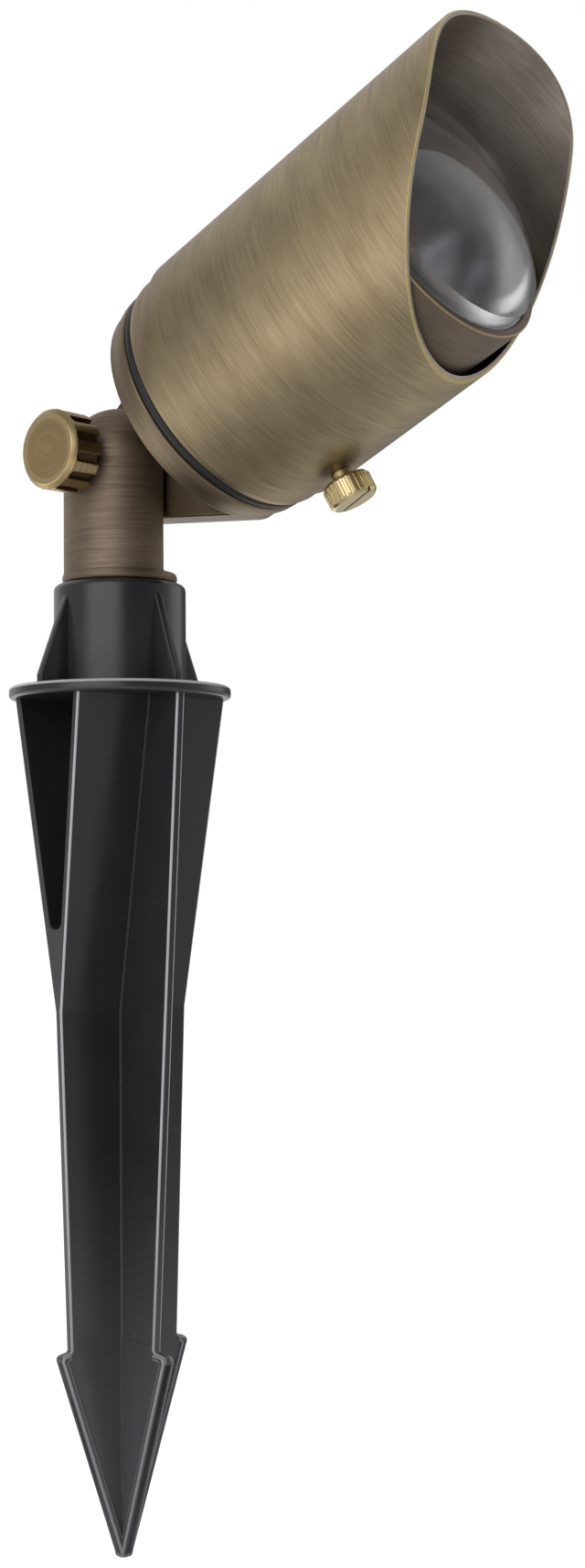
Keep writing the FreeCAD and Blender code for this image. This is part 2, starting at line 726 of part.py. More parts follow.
def lamp_base():
    """The lamp's ceramic base behind the reflector."""
    body = new_body("lamp_base")
    turn(body, [
        ("0", "base_rear"), ("base_radius-0.8", "base_rear"), ("base_radius", "base_rear+0.8"),
        ("base_radius", "lamp_rear"), ("0", "lamp_rear"),
    ])
    put(body, HEAD)
    return body


def lamp_pins():
    """The lamp's two contact pins."""
    body = Part.Compound([])
    feature = doc.addObject("Part::Compound", "lamp_pins")
    feature.Label = "lamp_pins"
    feature.Links = [bar("lamp_pin", "pin_radius", "pin_length", "0", side + "pin_half_spacing",
                         "base_rear-pin_length") for side in ("", "-")]
    put(feature, HEAD)
    return feature


def bar(name, radius, length, across, over, foot):
    """A plain round bar along Z for use inside a compound or a boolean."""
    cylinder = doc.addObject("Part::Cylinder", name)
    cylinder.setExpression("Radius", full(radius))
    cylinder.setExpression("Height", full(length))
    cylinder.setExpression("Placement.Base.x", full(across))
    cylinder.setExpression("Placement.Base.y", full(over))
    cylinder.setExpression("Placement.Base.z", full(foot))
    return cylinder


def lamp_socket():
    """The ceramic two-pin socket."""
    body = new_body("lamp_socket")
    turn(body, [
        ("0", "socket_rear"), ("socket_radius", "socket_rear"), ("socket_radius", "socket_front-0.6"),
        ("socket_radius-0.6", "socket_front"), ("0", "socket_front"),
    ])
    rod(body, "XY_Plane", [("0", "pin_half_spacing", "pin_hole_radius"),
                           ("0", "-pin_half_spacing", "pin_hole_radius")],
        "socket_front-pin_hole_depth", "socket_front+1", cut=True)
    put(body, HEAD)
    return body


def socket_bracket():
    """The bent steel strip that holds the socket off the cap's floor."""
    body = new_body("socket_bracket")
    thick = "bracket_thickness"
    slab(body, "XZ_Plane", mirrored([
        ("bracket_step-bracket_slope", "socket_rear"),
        ("bracket_step+bracket_thickness/2", "cap_inside+" + thick),
        ("bracket_half_length", "cap_inside+" + thick),
        ("bracket_half_length", "cap_inside"),
        ("bracket_step-bracket_thickness/2", "cap_inside"),
        ("bracket_step-bracket_slope-bracket_thickness", "socket_rear-" + thick),
    ]), "-(bracket_width/2+bracket_shift)", "bracket_width/2-bracket_shift")
    rod(body, "XY_Plane", [("screw_place", "-bracket_shift", "screw_hole_radius"),
                           ("-screw_place", "-bracket_shift", "screw_hole_radius")],
        "cap_inside-1", "cap_inside+bracket_thickness+1", cut=True)
    put(body, HEAD)
    return body


def bracket_screws():
    """The two slotted screws that hold the bracket, as one group."""
    group = doc.addObject("Part::Compound", "bracket_screws")
    group.Label = "bracket_screws"
    seat = "cap_inside+bracket_thickness"
    screws = []
    for side in ("", "-"):
        head = bar("screw_head", "screw_head_radius", "screw_head_height", side + "screw_place",
                   "-bracket_shift", seat)
        shank = bar("screw_shank", "screw_radius", "screw_length+0.1", side + "screw_place",
                    "-bracket_shift", seat + "-screw_length")
        whole = doc.addObject("Part::Fuse", "screw_body")
        whole.Base = head
        whole.Tool = shank
        slot = doc.addObject("Part::Box", "screw_slot")
        slot.setExpression("Length", full("2*screw_head_radius+1"))
        slot.setExpression("Width", full("screw_slot_width"))
        slot.setExpression("Height", full("screw_slot_depth+1"))
        slot.setExpression("Placement.Base.x", full(side + "screw_place-screw_head_radius-0.5"))
        slot.setExpression("Placement.Base.y", full("-bracket_shift-screw_slot_width/2"))
        slot.setExpression("Placement.Base.z", full(seat + "+screw_head_height-screw_slot_depth"))
        screw = doc.addObject("Part::Cut", "screw")
        screw.Base = whole
        screw.Tool = slot
        screws.append(screw)
    group.Links = screws
    put(group, HEAD)
    return group


def socket_leads():
    """The socket's two leads, which run back through the ear's wire passage to the hollow knuckle."""
    group = doc.addObject("Part::Compound", "socket_leads")
    group.Label = "socket_leads"
    over = "ear_near+ear_groove_depth/2+1.5"
    group.Links = [bar("socket_lead", "lead_radius", "socket_rear-lead_end",
                       "-axis_drop" + side + "lead_half_spacing", over, "lead_end") for side in ("+", "-")]
    put(group, HEAD)
    return group


def thumb_knob():
    """The fluted brass knob that locks the knuckle."""
    body = new_body("thumb_knob")
    face = "knob_back+knob_length"
    turn(body, [
        ("stud_radius+0.05", "knob_back"), ("knob_radius-0.3", "knob_back"), ("knob_radius", "knob_back+0.3"),
        ("knob_radius", face + "-knob_face_bevel"), ("knob_radius-knob_face_bevel", face), ("0", face),
        ("0", "knob_back+stud_knob_depth+0.1"), ("stud_radius+0.05", "knob_back+stud_knob_depth+0.1"),
    ])
    half = "knob_flute_width/2"
    end = face + "-knob_flute_end-" + half
    flute = slab(body, "YZ_Plane", [
        (half, "knob_back-1"), (half, end, half + "*1.02"), ("-" + half, end), ("-" + half, "knob_back-1"),
    ], "knob_radius-knob_flute_depth", "knob_radius+1", cut=True)
    around(body, flute, "knob_flute_count")
    put(body, KNOB)
    return body


def knob_stud():
    """The threaded stud fixed in the knob, which passes through the stem into the ear."""
    body = new_body("knob_stud")
    tip = "-(cheek_offset+ear_near+stud_tip_depth-0.6)"
    turn(body, [
        ("0", tip), ("stud_radius-0.6", tip), ("stud_radius", tip + "+0.6"),
        ("stud_radius", "knob_back+stud_knob_depth"), ("0", "knob_back+stud_knob_depth"),
    ])
    put(body, KNOB)
    return body


def knob_washer():
    """The washer between the knob and the stem."""
    body = new_body("knob_washer")
    turn(body, [
        ("stud_radius+stud_clearance", "knob_back-knob_washer_thickness"),
        ("knob_washer_radius", "knob_back-knob_washer_thickness"), ("knob_washer_radius", "knob_back"),
        ("stud_radius+stud_clearance", "knob_back"),
    ])
    put(body, KNOB)
    return body


def glare_shroud():
    """The sliding sleeve, cut back on its underside and rounded over at its long side."""
    body = new_body("glare_shroud")
    turn(body, [
        ("shroud_bore", "shroud_rear"), ("shroud_radius", "shroud_rear"),
        ("shroud_radius", "shroud_long_reach+1"), ("shroud_bore", "shroud_long_reach+1"),
    ])
    slab(body, "XZ_Plane", [
        ("cut_overrun", "short_cut_reach"), ("cut_overrun", "shroud_long_reach+3"),
        ("-cut_overrun", "shroud_long_reach+3"), ("-cut_overrun", "shroud_long_reach"),
        ("-shroud_nose_height", "shroud_long_reach", "-shroud_nose_radius"), ("-nose_foot", "nose_foot_reach"),
    ], "-cut_overrun", "cut_overrun", cut=True)
    rod(body, "YZ_Plane", [("0", "thumbscrew_place", "thumbscrew_hole_radius")],
        "shroud_bore-2", "shroud_radius+1", cut=True)
    put(body, SHROUD)
    return body


def shroud_thumbscrew():
    """The small knurled and slotted brass screw that locks the shroud on the housing."""
    body = new_body("shroud_thumbscrew")
    neck_end = "shroud_radius+thumbscrew_neck_length"
    face = neck_end + "+thumbscrew_head_length"
    tip = "housing_radius+thumbscrew_tip_gap"
    turn(body, [
        ("0", tip), ("thumbscrew_shank_radius-0.4", tip), ("thumbscrew_shank_radius", tip + "+0.4"),
        ("thumbscrew_shank_radius", "shroud_radius+0.3"), ("thumbscrew_neck_radius", "shroud_radius+0.3"),
        ("thumbscrew_neck_radius", neck_end), ("thumbscrew_head_radius-thumbscrew_bevel", neck_end),
        ("thumbscrew_head_radius", neck_end + "+thumbscrew_bevel"),
        ("thumbscrew_head_radius", face + "-thumbscrew_bevel"),
        ("thumbscrew_head_radius-thumbscrew_bevel", face), ("0", face),
    ])
    groove = slab(body, "XY_Plane", [
        ("thumbscrew_head_radius-knurl_depth", "0"), ("thumbscrew_head_radius+0.3", "-knurl_width/2"),
        ("thumbscrew_head_radius+0.3", "knurl_width/2"),
    ], neck_end + "-0.5", face + "+0.5", cut=True)
    around(body, groove, "knurl_count")
    slab(body, "XY_Plane", [
        ("-(thumbscrew_head_radius+1)", "-thumbscrew_slot_width/2"),
        ("thumbscrew_head_radius+1", "-thumbscrew_slot_width/2"),
        ("thumbscrew_head_radius+1", "thumbscrew_slot_width/2"),
        ("-(thumbscrew_head_radius+1)", "thumbscrew_slot_width/2"),
    ], face + "-thumbscrew_slot_depth", face + "+1", cut=True)
    put(body, THUMBSCREW)
    return body


PIECES = [
    ground_spike, knuckle_stem, knuckle_seal, rear_cap, cap_o_ring, lamp_housing, lens_gasket, glass_lens,
    lamp_reflector, lamp_front_glass, lamp_capsule, lamp_base, lamp_pins, lamp_socket, socket_bracket,
    bracket_screws, socket_leads, thumb_knob, knob_stud, knob_washer, glare_shroud, shroud_thumbscrew,
]


def check_document():
    """Stop if any object of the document failed."""
    for item in doc.Objects:
        if "Invalid" in item.State or "Error" in item.State:
            raise RuntimeError("%s failed: %s" % (item.Label, item.State))


def main():
    """Build every piece, check it, and write it to parts/."""
    made = [piece() for piece in PIECES]
    doc.recompute()
    check_document()
    for item in made:
        if item.Shape.isNull() or not item.Shape.isValid():
            raise RuntimeError("%s has no sound shape" % item.Label)
    os.makedirs("parts", exist_ok=True)
    for item in made:
        item.Shape.exportStep("parts/%s.step" % item.Label)
        print("%-20s solids %d  volume %.1f" % (item.Label, len(item.Shape.Solids), item.Shape.Volume))


main()
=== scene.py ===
"""Dresses the garden spike spotlight: an aged brass head on a knuckle, in a black plastic ground spike.

Sizes are millimetres in the classes and metres in the meshes. The head's own pieces are drawn about their
common axis: local Z runs forward along the beam, local X points to the underside, and the origin is at the
pivot's foot.
"""

import json
import logging
import math
from collections.abc import Callable
from dataclasses import dataclass, field
from enum import Enum

import bmesh
import bpy
from bmesh.types import BMesh, BMVert
from bpy.types import Material, Node, NodeSocket, NodeTree, Object
from mathutils import Matrix, Vector

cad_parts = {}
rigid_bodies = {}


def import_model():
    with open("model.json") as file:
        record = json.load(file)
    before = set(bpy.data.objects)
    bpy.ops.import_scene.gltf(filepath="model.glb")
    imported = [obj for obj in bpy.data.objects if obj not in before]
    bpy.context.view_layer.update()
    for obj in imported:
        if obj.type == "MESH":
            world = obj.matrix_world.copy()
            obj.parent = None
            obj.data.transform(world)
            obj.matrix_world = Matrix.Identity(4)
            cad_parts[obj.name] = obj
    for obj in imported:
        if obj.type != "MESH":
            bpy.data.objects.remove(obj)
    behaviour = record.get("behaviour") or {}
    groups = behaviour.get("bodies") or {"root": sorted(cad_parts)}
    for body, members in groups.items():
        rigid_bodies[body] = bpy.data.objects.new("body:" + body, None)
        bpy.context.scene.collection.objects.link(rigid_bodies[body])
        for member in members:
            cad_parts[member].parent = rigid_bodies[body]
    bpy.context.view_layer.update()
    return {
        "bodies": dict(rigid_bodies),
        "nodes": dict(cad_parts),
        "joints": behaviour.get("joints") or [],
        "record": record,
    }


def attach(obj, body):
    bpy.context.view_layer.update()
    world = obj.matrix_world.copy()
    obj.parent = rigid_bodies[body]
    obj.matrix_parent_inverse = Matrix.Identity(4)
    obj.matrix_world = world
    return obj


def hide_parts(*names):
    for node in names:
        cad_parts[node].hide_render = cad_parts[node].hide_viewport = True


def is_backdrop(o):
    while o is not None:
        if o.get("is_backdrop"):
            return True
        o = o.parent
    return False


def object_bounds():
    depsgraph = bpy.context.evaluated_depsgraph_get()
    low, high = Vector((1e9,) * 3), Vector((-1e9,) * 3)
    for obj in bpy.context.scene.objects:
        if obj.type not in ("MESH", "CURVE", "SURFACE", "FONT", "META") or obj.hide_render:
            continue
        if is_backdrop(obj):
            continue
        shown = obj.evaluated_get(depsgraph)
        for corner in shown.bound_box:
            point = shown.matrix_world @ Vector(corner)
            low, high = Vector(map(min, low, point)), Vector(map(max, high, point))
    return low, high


LOG = logging.getLogger("spotlight")
MM = 0.001
# Values that a noise texture mostly keeps between.
NOISE_LOW, NOISE_HIGH = 0.3, 0.7
Colour = tuple[float, float, float, float]
Fade = tuple[float, float, float, float]
Outline = list[tuple[float, float]]
Profile = list[tuple[float, float, float]]
Sources = dict[str, NodeSocket]


class Axis(Enum):
    """The axis that a plate is thin along."""

    X = "X"
    Y = "Y"


class Slot(Enum):
    """The record's material slots for the pieces made here."""

    PLASTIC = "black_abs"
    BRASS = "aged_brass"
    POLISHED = "polished_brass"
    RUBBER = "black_rubber"
    GLASS = "clear_glass"


def linear(hex_colour: str, share: float = 1.0) -> Colour:
    """Turn an sRGB hex colour into linear RGBA.

    Args:
        hex_colour: a hash and six hex digits.
        share: how bright the result is, as a share of the colour given.

    Returns:
        The colour as four linear values, the last one 1.
    """
    channels = [int(hex_colour[i : i + 2], 16) / 255 for i in (1, 3, 5)]
    red, green, blue = (c / 12.92 if c <= 0.04045 else ((c + 0.055) / 1.055) ** 2.4 for c in channels)
    return (red * share, green * share, blue * share, 1.0)


def add_node(tree: NodeTree, kind: str, settings: dict | None = None, links: dict | None = None) -> Node:
    """Add a node with its settings and its incoming links.

    Args:
        tree: the node tree to add to.
        kind: the node's type name.
        settings: attributes of the node, or input values under their socket name or number.
        links: socket name or number of the node to what feeds it, an output or a node's first output.

    Returns:
        The new node.
    """
    node = tree.nodes.new(kind)
    for key, value in (settings or {}).items():
        if isinstance(key, int) or key in node.inputs:
            node.inputs[key].default_value = value
        else:
            setattr(node, key, value)
    for key, source in (links or {}).items():
        tree.links.new(source.outputs[0] if isinstance(source, Node) else source, node.inputs[key])
    return node


def shader_of(material: Material) -> Node:
    """The material's Principled shader."""
    return next(n for n in material.node_tree.nodes if n.type == "BSDF_PRINCIPLED")


def new_material(name: str) -> Material:
    """Make a material with nodes.

    Args:
        name: the material's name.

    Returns:
        The material, with a Principled shader and its output.
    """
    material = bpy.data.materials.new(name)
    material.use_nodes = True
    return material


# ---- frames


@dataclass(frozen=True)
class HeadFrame:
    """Where the head and its sleeve stand at rest, worked out from the frame's joints.

    Attributes:
        pivot: the tilt pivot, in metres.
        beam: the direction that the head points in.
        axis_drop: how far the head's axis passes below the pivot.
        cheek_offset: how far the head's axis lies from the spike's axis along Y.
        sleeve_turn: how far the sleeve is turned about the head's axis, in degrees.
    """

    pivot: Vector
    beam: Vector
    axis_drop: float = 2.82
    cheek_offset: float = 1.7
    sleeve_turn: float = 11.16

    @property
    def head(self) -> Matrix:
        """Local head coordinates, in millimetres, to the row frame, in metres.

        Returns:
            The matrix.
        """
        across = Vector((0, 1, 0))
        under = across.cross(self.beam)
        foot = self.pivot + under * self.axis_drop * MM + across * self.cheek_offset * MM
        turned = Matrix((under, across, self.beam)).transposed().to_4x4()
        return Matrix.Translation(foot) @ turned @ Matrix.Scale(MM, 4)

    @property
    def sleeve(self) -> Matrix:
        """The sleeve's local coordinates to the row frame."""
        return self.head @ Matrix.Rotation(math.radians(self.sleeve_turn), 4, "Z")

    @property
    def knuckle(self) -> Matrix:
        """Coordinates about the pivot: local Z points out of the knob, and local Y up."""
        return Matrix.Translation(self.pivot) @ Matrix.Rotation(math.pi / 2, 4, "X") @ Matrix.Scale(MM, 4)


# ---- mesh tools


def softened(profile: Profile, steps: int = 4) -> Outline:
    """Round each corner of a closed outline by its own radius.

    Args:
        profile: corners as (radius, height, rounding).
        steps: how many pieces each rounded corner has.

    Returns:
        The outline's points as (radius, height).
    """
    points = []
    count = len(profile)
    for index, (x, y, rounding) in enumerate(profile):
        here = Vector((x, y))
        before = Vector(profile[index - 1][:2]) - here
        after = Vector(profile[(index + 1) % count][:2]) - here
        if rounding <= 0 or before.length < 1e-6 or after.length < 1e-6:
            points.append((x, y))
            continue
        angle = before.angle(after)
        if angle > math.radians(176):
            points.append((x, y))
            continue
        reach = min(rounding / math.tan(angle / 2), before.length * 0.48, after.length * 0.48)
        radius = reach * math.tan(angle / 2)
        bisector = (before.normalized() + after.normalized()).normalized()
        centre = here + bisector * (radius / math.sin(angle / 2))
        start = here + before.normalized() * reach - centre
        swing = start.angle_signed(here + after.normalized() * reach - centre)
        for step in range(steps + 1):
            turned = start.copy()
            turned.rotate(Matrix.Rotation(-swing * step / steps, 2))
            points.append((centre.x + turned.x, centre.y + turned.y))
    return points


def arc_points(start: tuple[float, float], end: tuple[float, float], radius: float, count: int) -> Outline:
    """Points on the shorter arc between two outline points, without its ends.

    Args:
        start: the arc's first point.
        end: the arc's last point.
        radius: positive where the centre lies to the left of the way from start to end.
        count: how many points to give.

    Returns:
        The points.
    """
    first, last = Vector(start), Vector(end)
    chord = last - first
    left = Vector((-chord.y, chord.x)).normalized()
    height = math.sqrt(max(radius * radius - chord.length_squared / 4, 0.0))
    centre = (first + last) / 2 + left * math.copysign(height, radius)
    swing = (first - centre).angle_signed(last - centre)
    points = []
    for step in range(1, count + 1):
        spoke = first - centre
        spoke.rotate(Matrix.Rotation(-swing * step / (count + 1), 2))
        points.append((centre.x + spoke.x, centre.y + spoke.y))
    return points


def finish_mesh(name: str, bm: BMesh, place: Matrix, sharp_angle: float = 40) -> Object:
    """Turn a bmesh into a finished object at the origin.

    Args:
        name: the object's name.
        bm: the bmesh, which is freed.
        place: carries its coordinates to the row frame.
        sharp_angle: edges that turn by more than this many degrees stay sharp.

    Returns:
        The new object.
    """
    bmesh.ops.remove_doubles(bm, verts=bm.verts, dist=1e-5)
    bmesh.ops.recalc_face_normals(bm, faces=bm.faces)
    limit = math.radians(sharp_angle)
    for edge in bm.edges:
        edge.smooth = not (edge.is_manifold and edge.calc_face_angle() > limit)
    for face in bm.faces:
        face.smooth = True
    mesh = bpy.data.meshes.new(name)
    bm.to_mesh(mesh)
    bm.free()
    mesh.transform(place)
    obj = bpy.data.objects.new(name, mesh)
    bpy.context.scene.collection.objects.link(obj)
    weighted = obj.modifiers.new("weighted normals", "WEIGHTED_NORMAL")
    weighted.keep_sharp = True
    weighted.weight = 80
    return obj


def lathe(name: str, outline: Outline, place: Matrix, segments: int = 160) -> Object:
    """A turned piece from a closed outline of (radius, height) points.

    Args:
        name: the object's name.
        outline: the points; those at radius 0 become poles.
        place: carries local millimetres to the row frame.
        segments: how many steps the turning has.

    Returns:
        The new object.
    """
    bm = bmesh.new()
    rings = []
    for radius, height in outline:
        if radius < 1e-6:
            rings.append([bm.verts.new((0, 0, height))])
            continue
        ring = []
        for step in range(segments):
            angle = 2 * math.pi * step / segments
            ring.append(bm.verts.new((radius * math.cos(angle), radius * math.sin(angle), height)))
        rings.append(ring)
    for index, ring in enumerate(rings):
        join_rings(bm, ring, rings[(index + 1) % len(rings)])
    return finish_mesh(name, bm, place)


def join_rings(bm: BMesh, first: list[BMVert], second: list[BMVert]) -> None:
    """Make the faces between two rings, either of which may be a single pole.

    Args:
        bm: the bmesh that holds them.
        first: one ring's corners in order.
        second: the other ring's corners, in the same order.
    """
    if len(first) == 1 and len(second) == 1:
        return
    count = max(len(first), len(second))
    for step in range(count):
        ahead = (step + 1) % count
        corners = [first[step % len(first)], first[ahead % len(first)]]
        corners += [second[ahead % len(second)], second[step % len(second)]]
        unique = list(dict.fromkeys(corners))
        if len(unique) > 2:
            bm.faces.new(unique)


def add_plate(bm: BMesh, outline: Outline, low: float, high: float,
              bevel: float, across: Axis = Axis.Y, taper: float = 0.0, edge_slot: int = 1) -> None:
    """Add a flat plate with rounded edges to a bmesh.

    Args:
        bm: the bmesh to add to.
        outline: corners as (side, height).
        low: where the plate starts along its thickness.
        high: where it ends.
        bevel: width of the rounded edges, 0 for none.
        across: the axis of its thickness.
        taper: how much each face draws in per millimetre below height 0.
        edge_slot: which of the object's materials the rounded edges wear.
    """
    part = bmesh.new()

    def corner(side: float, height: float, depth: float) -> BMVert:
        """Add one corner, with its depth drawn in by the taper.

        Args:
            side: its place along the plate.
            height: its height.
            depth: its place across the plate, before the taper.

        Returns:
            The corner.
        """
        drawn = depth + math.copysign(taper, depth) * height
        place = (side, drawn, height) if across is Axis.Y else (drawn, side, height)
        return part.verts.new(place)

    near = [corner(side, height, low) for side, height in outline]
    far = [corner(side, height, high) for side, height in outline]
    part.faces.new(near)
    part.faces.new(list(reversed(far)))
    join_rings(part, near, far)
    bmesh.ops.recalc_face_normals(part, faces=part.faces)
    if bevel:
        rims = [edge for edge in part.edges if len({vert in near for vert in edge.verts}) == 1]
        bmesh.ops.bevel(part, geom=rims, offset=bevel, segments=3, profile=0.5, affect="EDGES",
                        material=edge_slot)
    mesh = bpy.data.meshes.new("part")
    part.to_mesh(mesh)
    part.free()
    bm.from_mesh(mesh)
    bpy.data.meshes.remove(mesh)


def plate(name: str, outline: Outline, low: float, high: float, place: Matrix,
          bevel: float = 0.0) -> Object:
    """A flat plate: an outline in local X and Z, thickened along Y, with its long edges rounded.

    Args:
        name: the object's name.
        outline: corners as (x, z).
        low: where the plate starts along Y.
        high: where it ends.
        place: carries local millimetres to the row frame.
        bevel: width of the rounded edges.

    Returns:
        The new object.
    """
    bm = bmesh.new()
    add_plate(bm, outline, low, high, bevel, edge_slot=0)
    return finish_mesh(name, bm, place)


def eased(name: str, node: Object, width: float, sharp_angle: float = 30) -> Object:
    """A CAD piece with its sharp edges rounded over.

    Args:
        name: the new object's name.
        node: the CAD piece.
        width: width of the rounding, in millimetres.
        sharp_angle: edges that turn by more than this many degrees are rounded.

    Returns:
        The new object.
    """
    bm = bmesh.new()
    bm.from_mesh(node.data)
    bmesh.ops.transform(bm, matrix=Matrix.Scale(1 / MM, 4) @ node.matrix_world, verts=bm.verts)
    bmesh.ops.remove_doubles(bm, verts=bm.verts, dist=1e-4)
    bmesh.ops.dissolve_limit(bm, angle_limit=math.radians(0.5), verts=bm.verts, edges=bm.edges)
    limit = math.radians(sharp_angle)
    rims = [edge for edge in bm.edges if edge.is_manifold and edge.calc_face_angle() > limit]
    bmesh.ops.bevel(bm, geom=rims, offset=width, segments=2, profile=0.5, affect="EDGES")
    return finish_mesh(name, bm, Matrix.Scale(MM, 4))


def dish(obj: Object, facing: Vector, lip: float, depth: float) -> None:
    """Sink the largest flat face that points one way, leaving a lip round it.

    Args:
        obj: the object, in metres.
        facing: the direction that the face points in.
        lip: width of the lip, in millimetres.
        depth: how far the face sinks, in millimetres.
    """
    bm = bmesh.new()
    bm.from_mesh(obj.data)
    toward = facing.normalized()
    facing_out = [face for face in bm.faces if face.normal.dot(toward) > 0.999]
    end = max(facing_out, key=lambda face: face.calc_area())
    for width in (lip, depth * 2):
        bmesh.ops.inset_region(bm, faces=[end], thickness=width * MM, use_even_offset=True)
    bmesh.ops.translate(bm, verts=end.verts, vec=-toward * depth * MM)
    bm.to_mesh(obj.data)
    bm.free()


def carved(obj: Object, cutter: Object) -> Object:
    """Cut one object out of another, as a plain mesh.

    Args:
        obj: the object to cut.
        cutter: the shape to take away; it is removed.

    Returns:
        The cut object.
    """
    obj.modifiers.clear()
    cut = obj.modifiers.new("cut", "BOOLEAN")
    cut.object = cutter
    cut.solver = "EXACT"
    bpy.context.view_layer.update()
    mesh = bpy.data.meshes.new_from_object(obj.evaluated_get(bpy.context.evaluated_depsgraph_get()))
    bm = bmesh.new()
    bm.from_mesh(mesh)
    name = obj.name
    for old in (obj, cutter):
        bpy.data.objects.remove(old)
    bpy.data.meshes.remove(mesh)
    return finish_mesh(name, bm, Matrix.Identity(4))


def repaint(obj: Object, place: Matrix, slot: int, test: Callable[[Vector], bool]) -> None:
    """Give some faces another of the object's materials.

    Args:
        obj: the object.
        place: carries local millimetres to the row frame.
        slot: the material's place in the object's list.
        test: says from a face's local centre whether it changes.
    """
    local = place.inverted()
    for polygon in obj.data.polygons:
        if test(local @ polygon.center):
            polygon.material_index = slot


def wear(obj: Object, *materials: Material) -> Object:
    """Give an object its materials, in slot order.

    Args:
        obj: the object.
        materials: the materials, starting with slot 0.

    Returns:
        The object.
    """
    slots = obj.data.materials
    for index, material in enumerate(materials):
        if index < len(slots):
            slots[index] = material
        else:
            slots.append(material)
    return obj


def settle(obj: Object, body: str, slot: Slot, *nodes: str) -> Object:
    """Let a finished piece ride on its body and stand for its CAD nodes.

    Args:
        obj: the piece.
        body: the CAD body that it moves with.
        slot: the record's material slot; not used.
        nodes: the CAD nodes that it replaces.

    Returns:
        The piece.
    """
    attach(obj, body)
    if nodes:
        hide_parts(*nodes)
    LOG.info("%s rides on %s", obj.name, body)
    return obj


def instances_on_ring(name: str, stamp: Object, count: int, place: Matrix,
                      material: Material) -> Object:
    """Copies of a small mesh, evenly turned about local Z by Geometry Nodes, as one plain mesh.

    Args:
        name: the new object's name.
        stamp: the mesh to repeat, in local millimetres; it is removed.
        count: how many copies.
        place: carries local millimetres to the row frame.
        material: what the copies wear.

    Returns:
        The new object.
    """
    tree = bpy.data.node_groups.new(name + "_ring", "GeometryNodeTree")
    tree.interface.new_socket("Geometry", in_out="INPUT", socket_type="NodeSocketGeometry")
    copies = tree.interface.new_socket("Copies", in_out="INPUT", socket_type="NodeSocketInt")
    tree.interface.new_socket("Geometry", in_out="OUTPUT", socket_type="NodeSocketGeometry")
    entry = add_node(tree, "NodeGroupInput")
    line = add_node(tree, "GeometryNodeMeshLine", {"Offset": (0, 0, 0)}, {"Count": entry.outputs["Copies"]})
    index = add_node(tree, "GeometryNodeInputIndex")
    share = add_node(tree, "ShaderNodeMath", {"operation": "DIVIDE"}, {0: index, 1: entry.outputs["Copies"]})
    angle = add_node(tree, "ShaderNodeMath", {"operation": "MULTIPLY", 1: 2 * math.pi}, {0: share})
    spin = add_node(tree, "ShaderNodeCombineXYZ", links={"Z": angle})
    spread = add_node(tree, "GeometryNodeInstanceOnPoints", links={
        "Points": line, "Instance": entry.outputs["Geometry"], "Rotation": spin})
    real = add_node(tree, "GeometryNodeRealizeInstances", links={0: spread})
    coat = add_node(tree, "GeometryNodeSetMaterial", {"Material": material}, {"Geometry": real})
    add_node(tree, "NodeGroupOutput", links={0: coat})
    wear(stamp, material)
    stamp.modifiers.clear()
    modifier = stamp.modifiers.new("ring", "NODES")
    modifier.node_group = tree
    modifier[copies.identifier] = count
    bpy.context.view_layer.update()
    evaluated = stamp.evaluated_get(bpy.context.evaluated_depsgraph_get())
    mesh = bpy.data.meshes.new_from_object(evaluated)
    mesh.name = name
    stamp.modifiers.remove(modifier)
    old = stamp.data
    bpy.data.objects.remove(stamp)
    bpy.data.meshes.remove(old)
    mesh.transform(place)
    obj = bpy.data.objects.new(name, mesh)
    bpy.context.scene.collection.objects.link(obj)
    return obj


# ---- finishes


@dataclass(frozen=True)
class Finish:
    """One real finish, built on a Principled shader from patterns on Object coordinates.

    Attributes:
        name: the material's name.
    """

    name: str

    def build(self) -> Material:
        """Make the material.

        Returns:
            The new material.
        """
        material = new_material(self.name)
        tree = material.node_tree
        shader = shader_of(material)
        where = add_node(tree, "ShaderNodeTexCoord").outputs["Object"]
        for socket, source in self.patterns(tree, where).items():
            tree.links.new(source, shader.inputs[socket])
        for socket, value in self.constants().items():
            shader.inputs[socket].default_value = value
        return material

    def patterns(self, tree: NodeTree, where: NodeSocket) -> Sources:
        """What varies over the surface.

        Args:
            tree: the material's tree.
            where: gives the place on the piece.

        Returns:
            The shader's inputs, each with the output that feeds it.
        """
        raise NotImplementedError

    def constants(self) -> dict[str, float | Colour]:
        """What is the same all over: the shader's inputs with their values."""
        raise NotImplementedError


